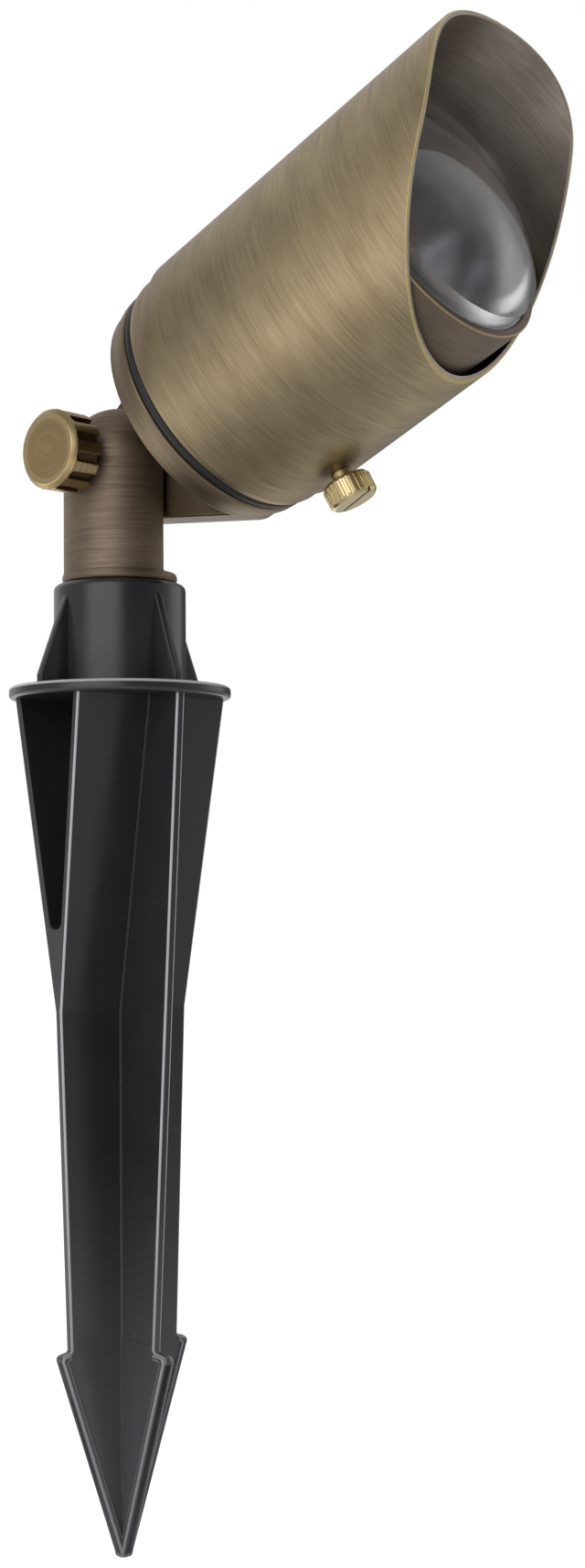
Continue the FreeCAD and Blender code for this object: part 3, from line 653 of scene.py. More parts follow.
@dataclass(frozen=True)
class BrushedBrass(Finish):
    """Aged brass, brushed round a piece's axis: fine scratches under a brown patina, and painted rear shade.

    Attributes:
        place: the frame whose Z axis the brushing goes round.
        light: colour where the patina is thin.
        dark: colour where it is thick.
        roughness: roughness of the brushed surface.
        grain: scratches per millimetre along the axis, drawn coarse enough to show.
        run: the same round the axis, which sets how long a scratch is.
        cloud: patches of patina per millimetre, in each local direction.
        depth: height of the scratches, in millimetres.
        relief: how strongly they tilt the surface, from 0 to 1.
        gloss: how far the roughness goes up and down from strip to strip.
        contrast: noise values at which the colour is all dark and all light.
        stretch: how strongly the brushing stretches a highlight.
        patina: how strongly the cloudy patina shows against the scratches, from 0 to 1.
        rear: where along the axis the painted shade is deepest, in millimetres.
        front: where the painted shade has faded out.
        rear_share: how bright the brass is at the rear, as a share of the front: the depth of the painted
            shade.
    """

    place: Matrix
    light: str
    dark: str
    roughness: float = 0.46
    grain: float = 7.0
    run: float = 0.07
    cloud: tuple[float, float, float] = (0.07, 0.07, 0.16)
    depth: float = 0.012
    relief: float = 0.35
    gloss: float = 0.06
    contrast: tuple[float, float] = (0.34, 0.66)
    stretch: float = 0.5
    patina: float = 0.35
    rear: float = 42.0
    front: float = 92.0
    rear_share: float = 1.0

    def patterns(self, tree: NodeTree, where: NodeSocket) -> Sources:
        """Hair lines round the axis, clouds of patina, and a highlight drawn out across the lines.

        Args:
            tree: the material's tree.
            where: gives the place on the piece.

        Returns:
            The shader's inputs, each with the output that feeds it.
        """
        # Turned and brushed brass shows long hair lines round its axis, so the noise is drawn out along the
        # turning. Real hair lines are finer than the picture shows, so these are drawn coarser.
        inverse = self.place.inverted()
        local = add_node(tree, "ShaderNodeMapping", {
            "Location": inverse.to_translation(), "Rotation": inverse.to_euler(), "Scale": inverse.to_scale(),
        }, {"Vector": where})
        flat = add_node(tree, "ShaderNodeVectorMath", {"operation": "MULTIPLY", 1: (1, 1, 0)}, {0: local})
        radius = add_node(tree, "ShaderNodeVectorMath", {"operation": "LENGTH"}, {0: flat})
        height = add_node(tree, "ShaderNodeSeparateXYZ", links={0: local})
        turned = add_node(tree, "ShaderNodeCombineXYZ", links={
            0: radius.outputs["Value"], 2: height.outputs["Z"]})
        fine = add_node(tree, "ShaderNodeVectorMath", {"operation": "SCALE", "Scale": self.grain},
                        {0: turned})
        drawn = add_node(tree, "ShaderNodeVectorMath", {
            "operation": "MULTIPLY_ADD", 1: (self.run, self.run, 0)}, {0: local, 2: fine})
        scratches = add_node(tree, "ShaderNodeTexNoise", {"Scale": 1.0, "Detail": 3.0, "Roughness": 0.6},
                             {"Vector": drawn})
        # A hand-rubbed patina is never even: broad soft clouds darken it between the hair lines.
        broad = add_node(tree, "ShaderNodeVectorMath", {"operation": "MULTIPLY", 1: self.cloud}, {0: local})
        bands = add_node(tree, "ShaderNodeTexNoise", {"Scale": 1.0, "Detail": 4.0, "Roughness": 0.6},
                         {"Vector": broad})
        mixed = add_node(tree, "ShaderNodeMix", {0: self.patina}, {2: scratches, 3: bands})
        tone = add_node(tree, "ShaderNodeMapRange", {
            "From Min": self.contrast[0], "From Max": self.contrast[1]}, {"Value": mixed})
        tint = add_node(tree, "ShaderNodeMix", {
            "data_type": "RGBA", 6: linear(self.dark), 7: linear(self.light)}, {0: tone})
        # Painted shade: the brass darkens towards the rear, down to the rear share of its colour.
        rear_shade = add_node(tree, "ShaderNodeMapRange", {
            "interpolation_type": "SMOOTHSTEP", "From Min": self.rear, "From Max": self.front,
            "To Min": self.rear_share}, {"Value": height.outputs["Z"]})
        tint = add_node(tree, "ShaderNodeVectorMath", {"operation": "SCALE"},
                        {0: tint.outputs[2], "Scale": rear_shade})
        # Scratched strips are duller than the burnished ones beside them.
        dull = add_node(tree, "ShaderNodeMapRange", {
            "From Min": NOISE_LOW, "From Max": NOISE_HIGH, "To Min": self.roughness + self.gloss,
            "To Max": self.roughness - self.gloss}, {"Value": scratches})
        bump = add_node(tree, "ShaderNodeBump", {"Strength": self.relief, "Distance": self.depth * MM},
                        {"Height": scratches})
        # Grooves round the axis spread a highlight along the axis, so the tangent lies across them.
        axis = (self.place.to_3x3() @ Vector((0, 0, 1))).normalized()
        spoke = add_node(tree, "ShaderNodeVectorMath", {
            "operation": "SUBTRACT", 1: self.place.to_translation()}, {0: where})
        round_axis = add_node(tree, "ShaderNodeVectorMath", {"operation": "CROSS_PRODUCT", 0: axis},
                              {1: spoke})
        groove = add_node(tree, "ShaderNodeVectorTransform", {
            "vector_type": "VECTOR", "convert_from": "OBJECT", "convert_to": "WORLD",
        }, {0: round_axis})
        facing = add_node(tree, "ShaderNodeNewGeometry")
        across = add_node(tree, "ShaderNodeVectorMath", {"operation": "CROSS_PRODUCT"},
                          {0: groove, 1: facing.outputs["Normal"]})
        return {"Base Color": tint.outputs[0], "Roughness": dull.outputs[0], "Normal": bump.outputs[0],
                "Tangent": across.outputs[0]}

    def constants(self) -> dict[str, float | Colour]:
        """A metal with a stretched highlight."""
        return {"Metallic": 1.0, "Anisotropic": self.stretch}


@dataclass(frozen=True)
class MouldedPlastic(Finish):
    """Injection-moulded ABS: a satin skin with faint flow marks and a fine tool texture.

    Attributes:
        colour: the plastic's colour.
        roughness: mean roughness.
        tip_painted_light: colour that the skin turns towards the tip, painted light for the floor that it
            reflects.
        sheen: how far the roughness goes below and above its mean along the flow marks.
        lift: how bright the flow marks are, as a share of the colour.
        grit: size of the tool texture, in millimetres.
        flow: width of a flow mark, in millimetres.
        painted_light_top: height above which the skin shows no painted light, in metres.
        painted_light_full: height below which the painted light is full.
    """

    colour: str
    roughness: float
    tip_painted_light: str = "#5A5A5E"
    sheen: tuple[float, float] = (0.06, 0.08)
    lift: float = 1.35
    grit: float = 0.25
    flow: float = 50 / 3
    painted_light_top: float = -0.1
    painted_light_full: float = -0.18

    def patterns(self, tree: NodeTree, where: NodeSocket) -> Sources:
        """A fine grain, slow flow marks, and painted light towards the tip.

        Args:
            tree: the material's tree.
            where: gives the place on the piece.

        Returns:
            The shader's inputs, each with the output that feeds it.
        """
        # Black ABS from a polished mould keeps a glossy skin, broken by a fine grain and slow flow marks.
        texture = add_node(tree, "ShaderNodeTexNoise", {"Scale": 1 / (self.grit * MM), "Detail": 2.0},
                           {"Vector": where})
        flow = add_node(tree, "ShaderNodeTexNoise", {"Scale": 1 / (self.flow * MM), "Detail": 4.0},
                        {"Vector": where})
        dull = add_node(tree, "ShaderNodeMapRange", {
            "From Min": NOISE_LOW, "From Max": NOISE_HIGH, "To Min": self.roughness - self.sheen[0],
            "To Max": self.roughness + self.sheen[1]}, {"Value": flow})
        tint = add_node(tree, "ShaderNodeMix", {
            "data_type": "RGBA", 6: linear(self.colour), 7: linear(self.colour, self.lift)}, {0: flow})
        bump = add_node(tree, "ShaderNodeBump", {"Strength": 0.12, "Distance": 0.02 * MM},
                        {"Height": texture})
        # Painted light: the blade is lighter towards its tip, for the bright floor that it reflects there.
        height = add_node(tree, "ShaderNodeSeparateXYZ", links={0: where})
        low = add_node(tree, "ShaderNodeMapRange", {
            "interpolation_type": "SMOOTHSTEP", "From Min": self.painted_light_top, "From Max": self.painted_light_full,
        }, {"Value": height.outputs["Z"]})
        tint = add_node(tree, "ShaderNodeMix", {"data_type": "RGBA", 7: linear(self.tip_painted_light)},
                        {0: low, 6: tint.outputs[2]})
        return {"Base Color": tint.outputs[2], "Roughness": dull.outputs[0], "Normal": bump.outputs[0]}

    def constants(self) -> dict[str, float | Colour]:
        """The plastic's index of refraction."""
        return {"IOR": 1.54}


@dataclass(frozen=True)
class PlainFinish(Finish):
    """A finish with one colour that varies a little: rubber, ceramic, plated steel or a mirror coat.

    Attributes:
        colour: the colour.
        roughness: mean roughness.
        metallic: 1 for a metal, which keeps the default index of refraction.
        grit: size of the surface's grain, in millimetres.
        variation: how far the colour and the roughness vary, as a share.
        ior: index of refraction of what isn't a metal.
    """

    colour: str
    roughness: float
    metallic: float = 0.0
    grit: float = 0.5
    variation: float = 0.15
    ior: float = 1.5

    def patterns(self, tree: NodeTree, where: NodeSocket) -> Sources:
        """One grain for tone, gloss and relief.

        Args:
            tree: the material's tree.
            where: gives the place on the piece.

        Returns:
            The shader's inputs, each with the output that feeds it.
        """
        # A plain finish still varies from spot to spot, in tone and in gloss alike.
        grain = add_node(tree, "ShaderNodeTexNoise", {"Scale": 1 / (self.grit * MM), "Detail": 3.0},
                         {"Vector": where})
        tint = add_node(tree, "ShaderNodeMix", {
            "data_type": "RGBA", 6: linear(self.colour, 1 - self.variation), 7: linear(self.colour),
        }, {0: grain})
        dull = add_node(tree, "ShaderNodeMapRange", {
            "From Min": NOISE_LOW, "From Max": NOISE_HIGH, "To Min": self.roughness * (1 - self.variation),
            "To Max": self.roughness * (1 + self.variation)}, {"Value": grain})
        bump = add_node(tree, "ShaderNodeBump", {"Strength": 0.1, "Distance": 0.02 * MM}, {"Height": grain})
        return {"Base Color": tint.outputs[2], "Roughness": dull.outputs[0], "Normal": bump.outputs[0]}

    def constants(self) -> dict[str, float | Colour]:
        """Metal, or the index of refraction of what isn't one."""
        return {"Metallic": self.metallic} if self.metallic else {"IOR": self.ior}


@dataclass(frozen=True)
class PressedGlass(Finish):
    """Clear pressed glass: smooth, with a very faint ripple from the mould.

    Attributes:
        roughness: how much it blurs what is seen through it.
        colour: the glass's tint.
        ripple: size of the ripple, in millimetres.
    """

    roughness: float = 0.0
    colour: str = "#F5F6F8"
    ripple: float = 9.0

    def patterns(self, tree: NodeTree, where: NodeSocket) -> Sources:
        """The mould's ripple.

        Args:
            tree: the material's tree.
            where: gives the place on the piece.

        Returns:
            The shader's inputs, each with the output that feeds it.
        """
        # Pressed glass takes a slow ripple from its mould, which bends the lines seen in it.
        waves = add_node(tree, "ShaderNodeTexNoise", {"Scale": 1 / (self.ripple * MM), "Detail": 1.0},
                         {"Vector": where})
        bump = add_node(tree, "ShaderNodeBump", {"Strength": 0.08, "Distance": 0.3 * MM}, {"Height": waves})
        return {"Normal": bump.outputs[0]}

    def constants(self) -> dict[str, float | Colour]:
        """Clear glass of one tint."""
        return {"Base Color": linear(self.colour), "Roughness": self.roughness, "Transmission Weight": 1.0,
                "IOR": 1.5}


class Finishes:
    """Every material of the object, made once."""

    def __init__(self, frame: HeadFrame) -> None:
        """Make the materials.

        Args:
            frame: gives the axes that the brushed pieces were turned about.
        """
        head, knuckle, upright = frame.head, frame.knuckle, Matrix.Scale(MM, 4)
        # The head's brass wears painted shade towards its rear.
        self.head_brass = BrushedBrass("aged_brass_head", head, "#B9A888", "#8D7C5F", rear_share=0.76).build()
        self.stem_brass = BrushedBrass("aged_brass_stem", upright, "#908170", "#706152", 0.56, 4.5).build()
        self.cap_brass = BrushedBrass("aged_brass_cap", head, "#8A7C66", "#6A5D4B").build()
        # The ear's brass is a darker copy: painted shade, for the head's shadow over it.
        self.ear_brass = BrushedBrass("aged_brass_ear_painted_shade", head, "#786A59", "#594C3F").build()
        # The tube's brass is a darker copy: painted shade, for the sleeve's shadow over it.
        self.tube_brass = BrushedBrass("dull_brass_tube_painted_shade", head, "#877A6C", "#6F6357", 0.55).build()
        # The sleeve's inside: oxidised brass, lightened by painted light.
        self.inner_brass = BrushedBrass("oxidised_brass_inside_painted_light", head, "#B3A89E", "#857B73", 0.4).build()
        self.cut_brass = BrushedBrass("cut_brass_rim", head, "#DAC993", "#B5A472", 0.45, stretch=0.0).build()
        self.screw_brass = BrushedBrass("bright_brass_screw", frame.sleeve, "#DDCDA0", "#B39F70", 0.24,
                                        stretch=0.0).build()
        self.knob_brass = BrushedBrass("turned_brass_knob", knuckle, "#BBA47A", "#94805A", 0.36, 3.0,
                                       stretch=0.3).build()
        # The knob's rim is a lighter copy of its brass: a painted highlight.
        self.rim_brass = BrushedBrass("turned_brass_knob_rim_painted_highlight", knuckle, "#CFBA8E", "#AE996C", 0.34, 3.0,
                                      stretch=0.3).build()
        self.dark_brass = BrushedBrass("tarnished_slot", knuckle, "#806A4A", "#54432E", 0.6,
                                       stretch=0.0).build()
        self.blackening = PlainFinish("heat_blackened_brass", "#0D0C0B", 0.6).build()
        self.black_plastic = MouldedPlastic("moulded_black_abs", "#252528", 0.24).build()
        # Light grey plastic: a painted highlight on rounded edges and the flange's rim.
        self.painted_highlight_plastic = MouldedPlastic("abs_edge_painted_highlight", "#B0B0B4", 0.28, "#98989C").build()
        # Near-black rough plastic: painted shade inside the wedge's slot.
        self.rough_painted_shade = MouldedPlastic("unpolished_abs_painted_shade", "#030303", 0.7).build()
        self.rubber = PlainFinish("black_nitrile_rubber", "#080808", 0.48).build()
        self.silicone = PlainFinish("clear_silicone_rubber", "#C9CCCB", 0.35, ior=1.41).build()
        self.insulation = PlainFinish("silicone_lead_insulation", "#1B1B1C", 0.45).build()
        self.mirror = PlainFinish("mirror_coated_glass", "#D8D9DB", 0.12, metallic=1.0, grit=2.0).build()
        self.steel = PlainFinish("zinc_plated_steel", "#B9BBBD", 0.3, metallic=1.0).build()
        self.ceramic = PlainFinish("glazed_steatite_ceramic", "#E4E1D6", 0.25, grit=1.0).build()
        self.frosting = PlainFinish("frosted_glass_capsule", "#F0EBDA", 0.4).build()
        self.glass = PressedGlass("pressed_glass_lens").build()
        self.stippled_glass = PressedGlass("stippled_glass_inside", 0.29).build()
        self.cover_glass = PressedGlass("flat_cover_glass", 0.05).build()


# ---- the spike


@dataclass
class GroundSpike:
    """The moulded spike. Local X runs along its fins; heights are measured from the flange's underside.

    The three reaches of a fin or a rib are those at the flange, at the step and at the neck above the tip.
    """

    finishes: Finishes
    turn: float = -8.55
    flange_radius: float = 26.0
    flange_thickness: float = 2.8
    hub_radius: float = 15.5
    hub_top: float = 26.9
    bore_radius: float = 10.5
    gusset_reach: float = 22.8
    gusset_foot: float = 2.0
    gusset_drop: float = 3.4
    gusset_count: int = 4
    gusset_edge: float = 0.45
    highlight_width: float = 0.8
    highlight_height: float = 0.6
    web: float = 2.2
    fin_reach: tuple[float, float, float] = (23.7, 18.5, 13.2)
    rib_reach: tuple[float, float, float] = (20.9, 17.8, 15.0)
    step: float = -72.4
    neck: float = -149.5
    tip: float = -198.2
    barb: float = 18.1
    tip_width: float = 1.25
    wedge_width: float = 13.0
    wall: float = 2.03
    slot_foot: float = -53.5
    slot_round: float = 2.2
    edge: float = 0.42
    bead: float = 1.5
    bead_height: float = 0.5
    valley: float = 0.38
    root: float = 1.5
    notch: tuple[float, float] = (2.2, -57.0)
    head_step: float = 0.2

    @property
    def place(self) -> Matrix:
        """The spike's local millimetres to the row frame."""
        return Matrix.Rotation(math.radians(self.turn), 4, "Z") @ Matrix.Scale(MM, 4)

    @property
    def slope(self) -> float:
        """How far the wedge's wall draws in per millimetre of depth."""
        return (self.wedge_width - self.web / 2) / -self.step

    def hub(self) -> None:
        """The turned hub on its flange."""
        outline = softened([
            (self.bore_radius, 0, 0.3), (self.flange_radius, 0, 0.9),
            (self.flange_radius, self.flange_thickness, 1.0), (self.hub_radius, self.flange_thickness, 0.9),
            (self.hub_radius, self.hub_top, 1.5), (self.bore_radius + 0.6, self.hub_top, 0.3),
            (self.bore_radius, self.hub_top - 0.6, 0.2),
        ], 5)
        hub = wear(lathe("spike_hub", outline, self.place), self.finishes.black_plastic,
                   self.finishes.painted_highlight_plastic)
        # The flange's upper rim wears a painted highlight.
        repaint(hub, self.place, 1, self.on_flange_rim)
        settle(hub, "spike", Slot.PLASTIC, "ground_spike")

    def on_flange_rim(self, place: Vector) -> bool:
        """Whether a face belongs to the flange's upper rim, which wears a painted highlight."""
        out = math.hypot(place.x, place.y) > self.flange_radius - self.highlight_width
        return out and place.z > self.flange_thickness - self.highlight_height

    def gussets(self) -> None:
        """The four thin triangular webs that brace the hub."""
        inner, foot, top = self.hub_radius - 1, self.flange_thickness - 0.5, self.hub_top - self.gusset_drop
        outline = softened([
            (inner, foot, 0), (self.gusset_reach, foot, 0),
            (self.gusset_reach, self.flange_thickness + self.gusset_foot, 0.5),
            (self.hub_radius + 0.1, top, 0.3), (inner, top, 0),
        ])
        stamp = plate("gusset_stamp", outline, -self.web / 2, self.web / 2, Matrix.Identity(4),
                      self.gusset_edge)
        ring = instances_on_ring("spike_gussets", stamp, self.gusset_count, self.place,
                                 self.finishes.black_plastic)
        settle(ring, "spike", Slot.PLASTIC)

    def barbed(self, upper: Profile) -> Outline:
        """A blade's outline: its upper half on the right, then the barbed tip, mirrored to the left."""
        half = upper + [(self.barb, self.neck - 0.6, 1.3), (self.tip_width, self.tip, 0.7)]
        return softened(half + [(-x, z, rounding) for x, z, rounding in reversed(half)], 5)

    def blades(self) -> None:
        """The crossed fins and ribs with the hollow wedge above them, as one moulding."""
        bm = bmesh.new()
        thick = self.web / 2
        flare = (self.fin_reach[0] - self.fin_reach[1]) / -self.step
        notch = [self.notch, (self.wedge_width - 1 + self.slope * self.root, self.root)]
        fins = [(self.fin_reach[0] + flare * self.root, self.root, 0), (self.fin_reach[1], self.step, 0),
                (self.fin_reach[2], self.neck, 0.6)]
        outline = self.barbed([(*point, 0.0) for point in notch] + fins)
        add_plate(bm, outline, -thick, thick, self.edge)
        ribs = [(self.rib_reach[1] + 0.1, self.step + 2.4, 0), (self.rib_reach[1], self.step, 0),
                (self.rib_reach[2], self.neck, 0.6)]
        add_plate(bm, self.barbed(ribs), -thick, thick, self.edge, across=Axis.X)
        self.wedge(bm)
        inset = self.barb - 1.4
        head = [(self.fin_reach[2] - 0.6, self.neck + 1.4), (self.fin_reach[2] - 0.6, self.neck - 1.2),
                (inset, self.neck - 1.4), (0.6, self.tip + 4)]
        raised = thick + self.head_step
        add_plate(bm, head + [(-x, z) for x, z in reversed(head)], -raised, raised, 0.15, edge_slot=0)
        for across in Axis:
            for side in (1, -1):
                self.add_bead(bm, side, across)
        for side in (1, -1):
            for face in (1, -1):
                self.add_valley(bm, side, face)
        self.darken_slot(bm)
        spike = finish_mesh("spike_blades", bm, self.place, 35)
        # Rounded edges wear a painted highlight, and the slot's inside painted shade.
        wear(spike, self.finishes.black_plastic, self.finishes.painted_highlight_plastic, self.finishes.rough_painted_shade)
        settle(spike, "spike", Slot.PLASTIC)

    def wedge(self, bm: BMesh) -> None:
        """Add the two converging walls and the solid foot that they run into.

        Args:
            bm: the bmesh to add to.
        """
        taper = (self.rib_reach[0] - self.rib_reach[1]) / -self.step
        inner = self.wedge_width - self.wall
        foot = inner + self.slope * (self.slot_foot + self.slot_round)
        rise = self.slope * self.root
        right = [(self.web / 2 - 0.03, self.step - 0.3), (self.wedge_width + rise, self.root),
                 (inner + rise, self.root), (foot, self.slot_foot + self.slot_round)]
        arc = []
        for step in range(1, 9):
            angle = math.pi * step / 18
            arc.append((foot * math.cos(angle), self.slot_foot + self.slot_round * (1 - math.sin(angle))))
        half = right + arc
        outline = half + [(-x, z) for x, z in reversed(half)]
        add_plate(bm, outline, -self.rib_reach[0], self.rib_reach[0], self.edge, taper=taper)

    def darken_slot(self, bm: BMesh) -> None:
        """Paint rough, near-black shade on the slot's inner walls; sheltered edges lose the painted
        highlight.

        Args:
            bm: the blades' bmesh.
        """
        for face in bm.faces:
            centre = face.calc_center_median()
            wall = self.wedge_width + self.slope * centre.z - 0.6
            inside = abs(centre.x) < wall and self.slot_foot - 0.1 < centre.z
            # The slot's inner walls get the painted shade.
            if inside and face.material_index == 0 and abs(face.normal.y) < 0.3:
                face.material_index = 2
            rim = abs(centre.x) < wall - 0.5 and centre.z > self.slot_foot - 0.6
            sheltered = centre.x < -2 and abs(centre.y) < self.web
            # Edges round the slot and in the web's shelter lose the painted highlight.
            if face.material_index == 1 and (rim or sheltered):
                face.material_index = 0

    def add_bead(self, bm: BMesh, side: int, across: Axis) -> None:
        """Add the raised rim along one slanted edge of the arrowhead.

        Args:
            bm: the bmesh to add to.
            side: 1 for the right edge, -1 for the left one.
            across: the axis of the blade's thickness.
        """
        reach = self.fin_reach[2] if across is Axis.Y else self.rib_reach[2]
        top = self.neck - 0.6
        lean = (self.barb - self.tip_width) / (top - self.tip)
        inset = self.bead * math.sqrt(1 + lean * lean)
        corners = [
            (reach + 0.2, top + 0.15, 0), (self.barb, top, 1.3), (self.tip_width, self.tip, 0.7),
            (-0.05, self.tip, 0), (-0.05, self.tip + (inset - self.tip_width) / lean, 0),
            (self.barb - inset - lean * 1.2, top - 1.2, 0.6), (reach + 0.2, top - 1.1, 0),
        ]
        outline = [(side * x, z) for x, z in softened(corners, 5)]
        thick = self.web / 2 + self.bead_height
        add_plate(bm, outline, -thick, thick, self.edge, across=across)

    def add_valley(self, bm: BMesh, side: int, face: int) -> None:
        """Add the small fillet in the corner between a fin and the wall or rib beside it.

        Args:
            bm: the bmesh to add to.
            side: 1 or -1 along the fins.
            face: 1 or -1 across the fins.
        """
        thick, width, sunk = self.web / 2, self.valley, -0.4
        corners = ((sunk, sunk), (width, sunk), (width, 0.0), (width * 0.3, width * 0.3), (0.0, width),
                   (sunk, width))
        rings = []
        for height, wall in ((0.2, self.wedge_width), (self.step, thick), (self.tip + 14, thick)):
            rings.append([bm.verts.new((side * (wall + a), face * (thick + b), height)) for a, b in corners])
        for first, second in zip(rings, rings[1:]):
            join_rings(bm, first, second)
        bm.faces.new(rings[0])
        bm.faces.new(rings[-1])

    def build(self) -> None:
        """Make the whole spike."""
        self.hub()
        self.gussets()
        self.blades()


# ---- the head


@dataclass
class LampHead:
    """The head: rear cap with its ear, seal, housing tube and lens.

    What is called a rear, a front, a floor or an edge is a place along the beam from the pivot's foot.
    """

    frame: HeadFrame
    finishes: Finishes
    cap_rear: float = 27.3
    cap_front: float = 33.8
    cap_rear_radius: float = 28.17
    cap_front_radius: float = 29.3
    floor: float = 3.0
    spigot_radius: float = 26.8
    spigot_wall: float = 2.4
    spigot_front: float = 45.8
    seal_radius: float = 1.2
    shoulder_rear: float = 36.3
    shoulder_front: float = 43.4
    shoulder_radius: float = 30.0
    tube_radius: float = 28.3
    tube_bore: float = 26.3
    tube_front: float = 102.5
    guide_radius: float = 29.47
    guide_length: float = 5.0
    guide_ramp: float = 0.6
    front_guide: float = 78.0
    ledge_front: float = 97.5
    ledge_depth: float = 3.0
    ledge_width: float = 2.5
    lens_radius: float = 25.6
    lens_wall: float = 3.2
    lens_foot: float = 3.0
    lens_rear: float = 99.15
    lens_edge: float = 105.8
    dome_radius: float = 40.87
    ear_radius: float = 13.2
    ear_near: float = 1.3
    ear_far: float = 11.4
    ear_heel: float = 12.0
    ear_edge: float = 0.7
    segments: int = 192
    lens_segments: int = 128

    def rear_cap(self) -> None:
        """The turned cap behind the dark seal line."""
        rim, lip, floor = self.cap_rear_radius, self.cap_front_radius, self.cap_rear + self.floor
        bore = self.spigot_radius - self.spigot_wall
        outline = softened([
            (0, self.cap_rear, 0), (rim - 0.2, self.cap_rear, 1.2), (rim, self.cap_rear + 1.4, 0.8),
            (lip - 0.25, self.cap_front - 2.2, 0.8), (lip, self.cap_front, 0.6),
            (self.spigot_radius, self.cap_front, 0), (self.spigot_radius, self.spigot_front, 0.5),
            (bore, self.spigot_front, 0.3), (bore, floor, 0.5), (0, floor, 0),
        ])
        cap = wear(lathe("rear_cap_shell", outline, self.frame.head, self.segments), self.finishes.cap_brass)
        settle(cap, "head", Slot.BRASS, "rear_cap")

    def ear(self) -> None:
        """The fan-shaped ear, whose straight sides run from the pivot's boss to the cap's rim."""
        pivot = Vector((-self.frame.axis_drop, 0))
        rim = self.cap_rear_radius - 0.6
        points = []
        touches = []
        for side in (1, -1):
            corner = Vector((side * rim, self.cap_rear)) - pivot
            touches.append(math.atan2(corner.y, corner.x) - side * math.acos(self.ear_radius / corner.length))
        first, last = touches[1] - 2 * math.pi, touches[0]
        steps, radius = 40, self.ear_radius
        for step in range(steps + 1):
            angle = first + (last - first) * step / steps
            points.append((pivot.x + radius * math.cos(angle), radius * math.sin(angle), 0.0))
        far_rim = math.sqrt(rim * rim - self.ear_far * self.ear_far) + 0.9
        heel = [(far_rim, self.cap_rear - 1.5, self.ear_heel), (far_rim, self.cap_rear + 2, 0)]
        heel += [(-far_rim, self.cap_rear + 2, 0), (-far_rim, self.cap_rear - 1.5, self.ear_heel)]
        ear = plate("rear_cap_ear", softened(points + heel, 8), self.ear_near, self.ear_far, self.frame.head,
                    self.ear_edge)
        # The ear wears the darker brass of painted shade.
        settle(wear(ear, self.finishes.ear_brass), "head", Slot.BRASS)

    def o_ring(self) -> None:
        """The rubber ring in the gap between cap and housing."""
        middle = (self.cap_front + self.shoulder_rear) / 2
        centre = self.spigot_radius + 0.2 + self.seal_radius
        outline = []
        steps = 16
        for step in range(steps):
            angle = 2 * math.pi * step / steps
            outline.append((centre + self.seal_radius * math.cos(angle),
                            middle + self.seal_radius * math.sin(angle)))
        ring = wear(lathe("cap_seal_ring", outline, self.frame.head, self.segments), self.finishes.rubber)
        settle(ring, "head", Slot.RUBBER, "cap_o_ring")

    def housing(self) -> None:
        """The lamp tube with its shoulder, guide bands and thin front rim."""
        socket = self.spigot_radius + 0.15
        ledge_rear, ledge_bore = self.ledge_front - self.ledge_depth, self.tube_bore - self.ledge_width
        rear_guide, front_guide = self.shoulder_front, self.front_guide
        outline = softened([
            (socket, self.shoulder_rear, 0.3), (self.shoulder_radius - 0.35, self.shoulder_rear, 0.5),
            (self.shoulder_radius, self.shoulder_rear + 1.6, 1.0), (self.shoulder_radius, rear_guide, 0.3),
            (self.guide_radius, rear_guide, 0), (self.guide_radius, rear_guide + self.guide_length, 0.3),
            (self.tube_radius, rear_guide + self.guide_length + self.guide_ramp, 0),
            (self.tube_radius, front_guide, 0), (self.guide_radius, front_guide + self.guide_ramp, 0.3),
            (self.guide_radius, front_guide + self.guide_length, 0.3),
            (self.tube_radius, front_guide + self.guide_length + self.guide_ramp, 0),
            (self.tube_radius, self.tube_front, 0.35), (self.tube_bore, self.tube_front, 0.35),
            (self.tube_bore, self.ledge_front, 0), (ledge_bore, self.ledge_front, 0.2),
            (ledge_bore, ledge_rear, 0.2), (self.tube_bore, ledge_rear, 0),
            (self.tube_bore, self.spigot_front + 1, 0), (socket, self.spigot_front + 1, 0),
        ])
        tube = wear(lathe("lamp_tube", outline, self.frame.head, self.segments), self.finishes.head_brass,
                    self.finishes.tube_brass, self.finishes.blackening)
        # The tube under the sleeve wears painted shade.
        repaint(tube, self.frame.head, 1, self.on_tube)
        repaint(tube, self.frame.head, 2, self.in_bore)
        settle(tube, "head", Slot.BRASS, "lamp_housing")

    def on_tube(self, place: Vector) -> bool:
        """Whether a face lies on the tube, which wears painted shade; its thin front edge alone is bright."""
        edge = place.z > self.tube_front - 0.3 and math.hypot(place.x, place.y) > self.tube_radius - 0.4
        return place.z > self.shoulder_front + 0.1 and not edge

    def in_bore(self, place: Vector) -> bool:
        """Whether a face lies in the bore, which the lamp's heat has blackened."""
        return place.z > self.spigot_front and math.hypot(place.x, place.y) < self.tube_bore + 0.1

    def lens(self) -> None:
        """The thick domed glass, stippled on its inner face."""
        apex = self.lens_edge + self.dome_radius - math.sqrt(self.dome_radius**2 - self.lens_radius**2)
        foot = self.lens_radius - self.lens_foot
        inner_apex = apex - self.lens_wall
        inner_rise = inner_apex - self.lens_rear
        inner = (foot**2 + inner_rise**2) / (2 * inner_rise)
        outer_arc = arc_points((self.lens_radius, self.lens_edge), (0, apex), self.dome_radius, 24)
        inner_arc = arc_points((0, inner_apex), (foot, self.lens_rear), -inner, 20)
        outline = [(foot, self.lens_rear)]
        outline += [(self.lens_radius, self.lens_rear), (self.lens_radius, self.lens_edge)]
        outline += outer_arc + [(0, apex), (0, inner_apex)] + inner_arc
        glass = wear(lathe("domed_lens", outline, self.frame.head, self.lens_segments), self.finishes.glass,
                     self.finishes.stippled_glass)
        middle = inner - inner_apex
        repaint(glass, self.frame.head, 1,
                lambda place: (place + Vector((0, 0, middle))).length < inner + 0.3)
        settle(glass, "head", Slot.GLASS, "glass_lens")

    def build(self) -> None:
        """Make every piece of the head's shell."""
        self.rear_cap()
        self.ear()
        self.o_ring()
        self.housing()
        self.lens()


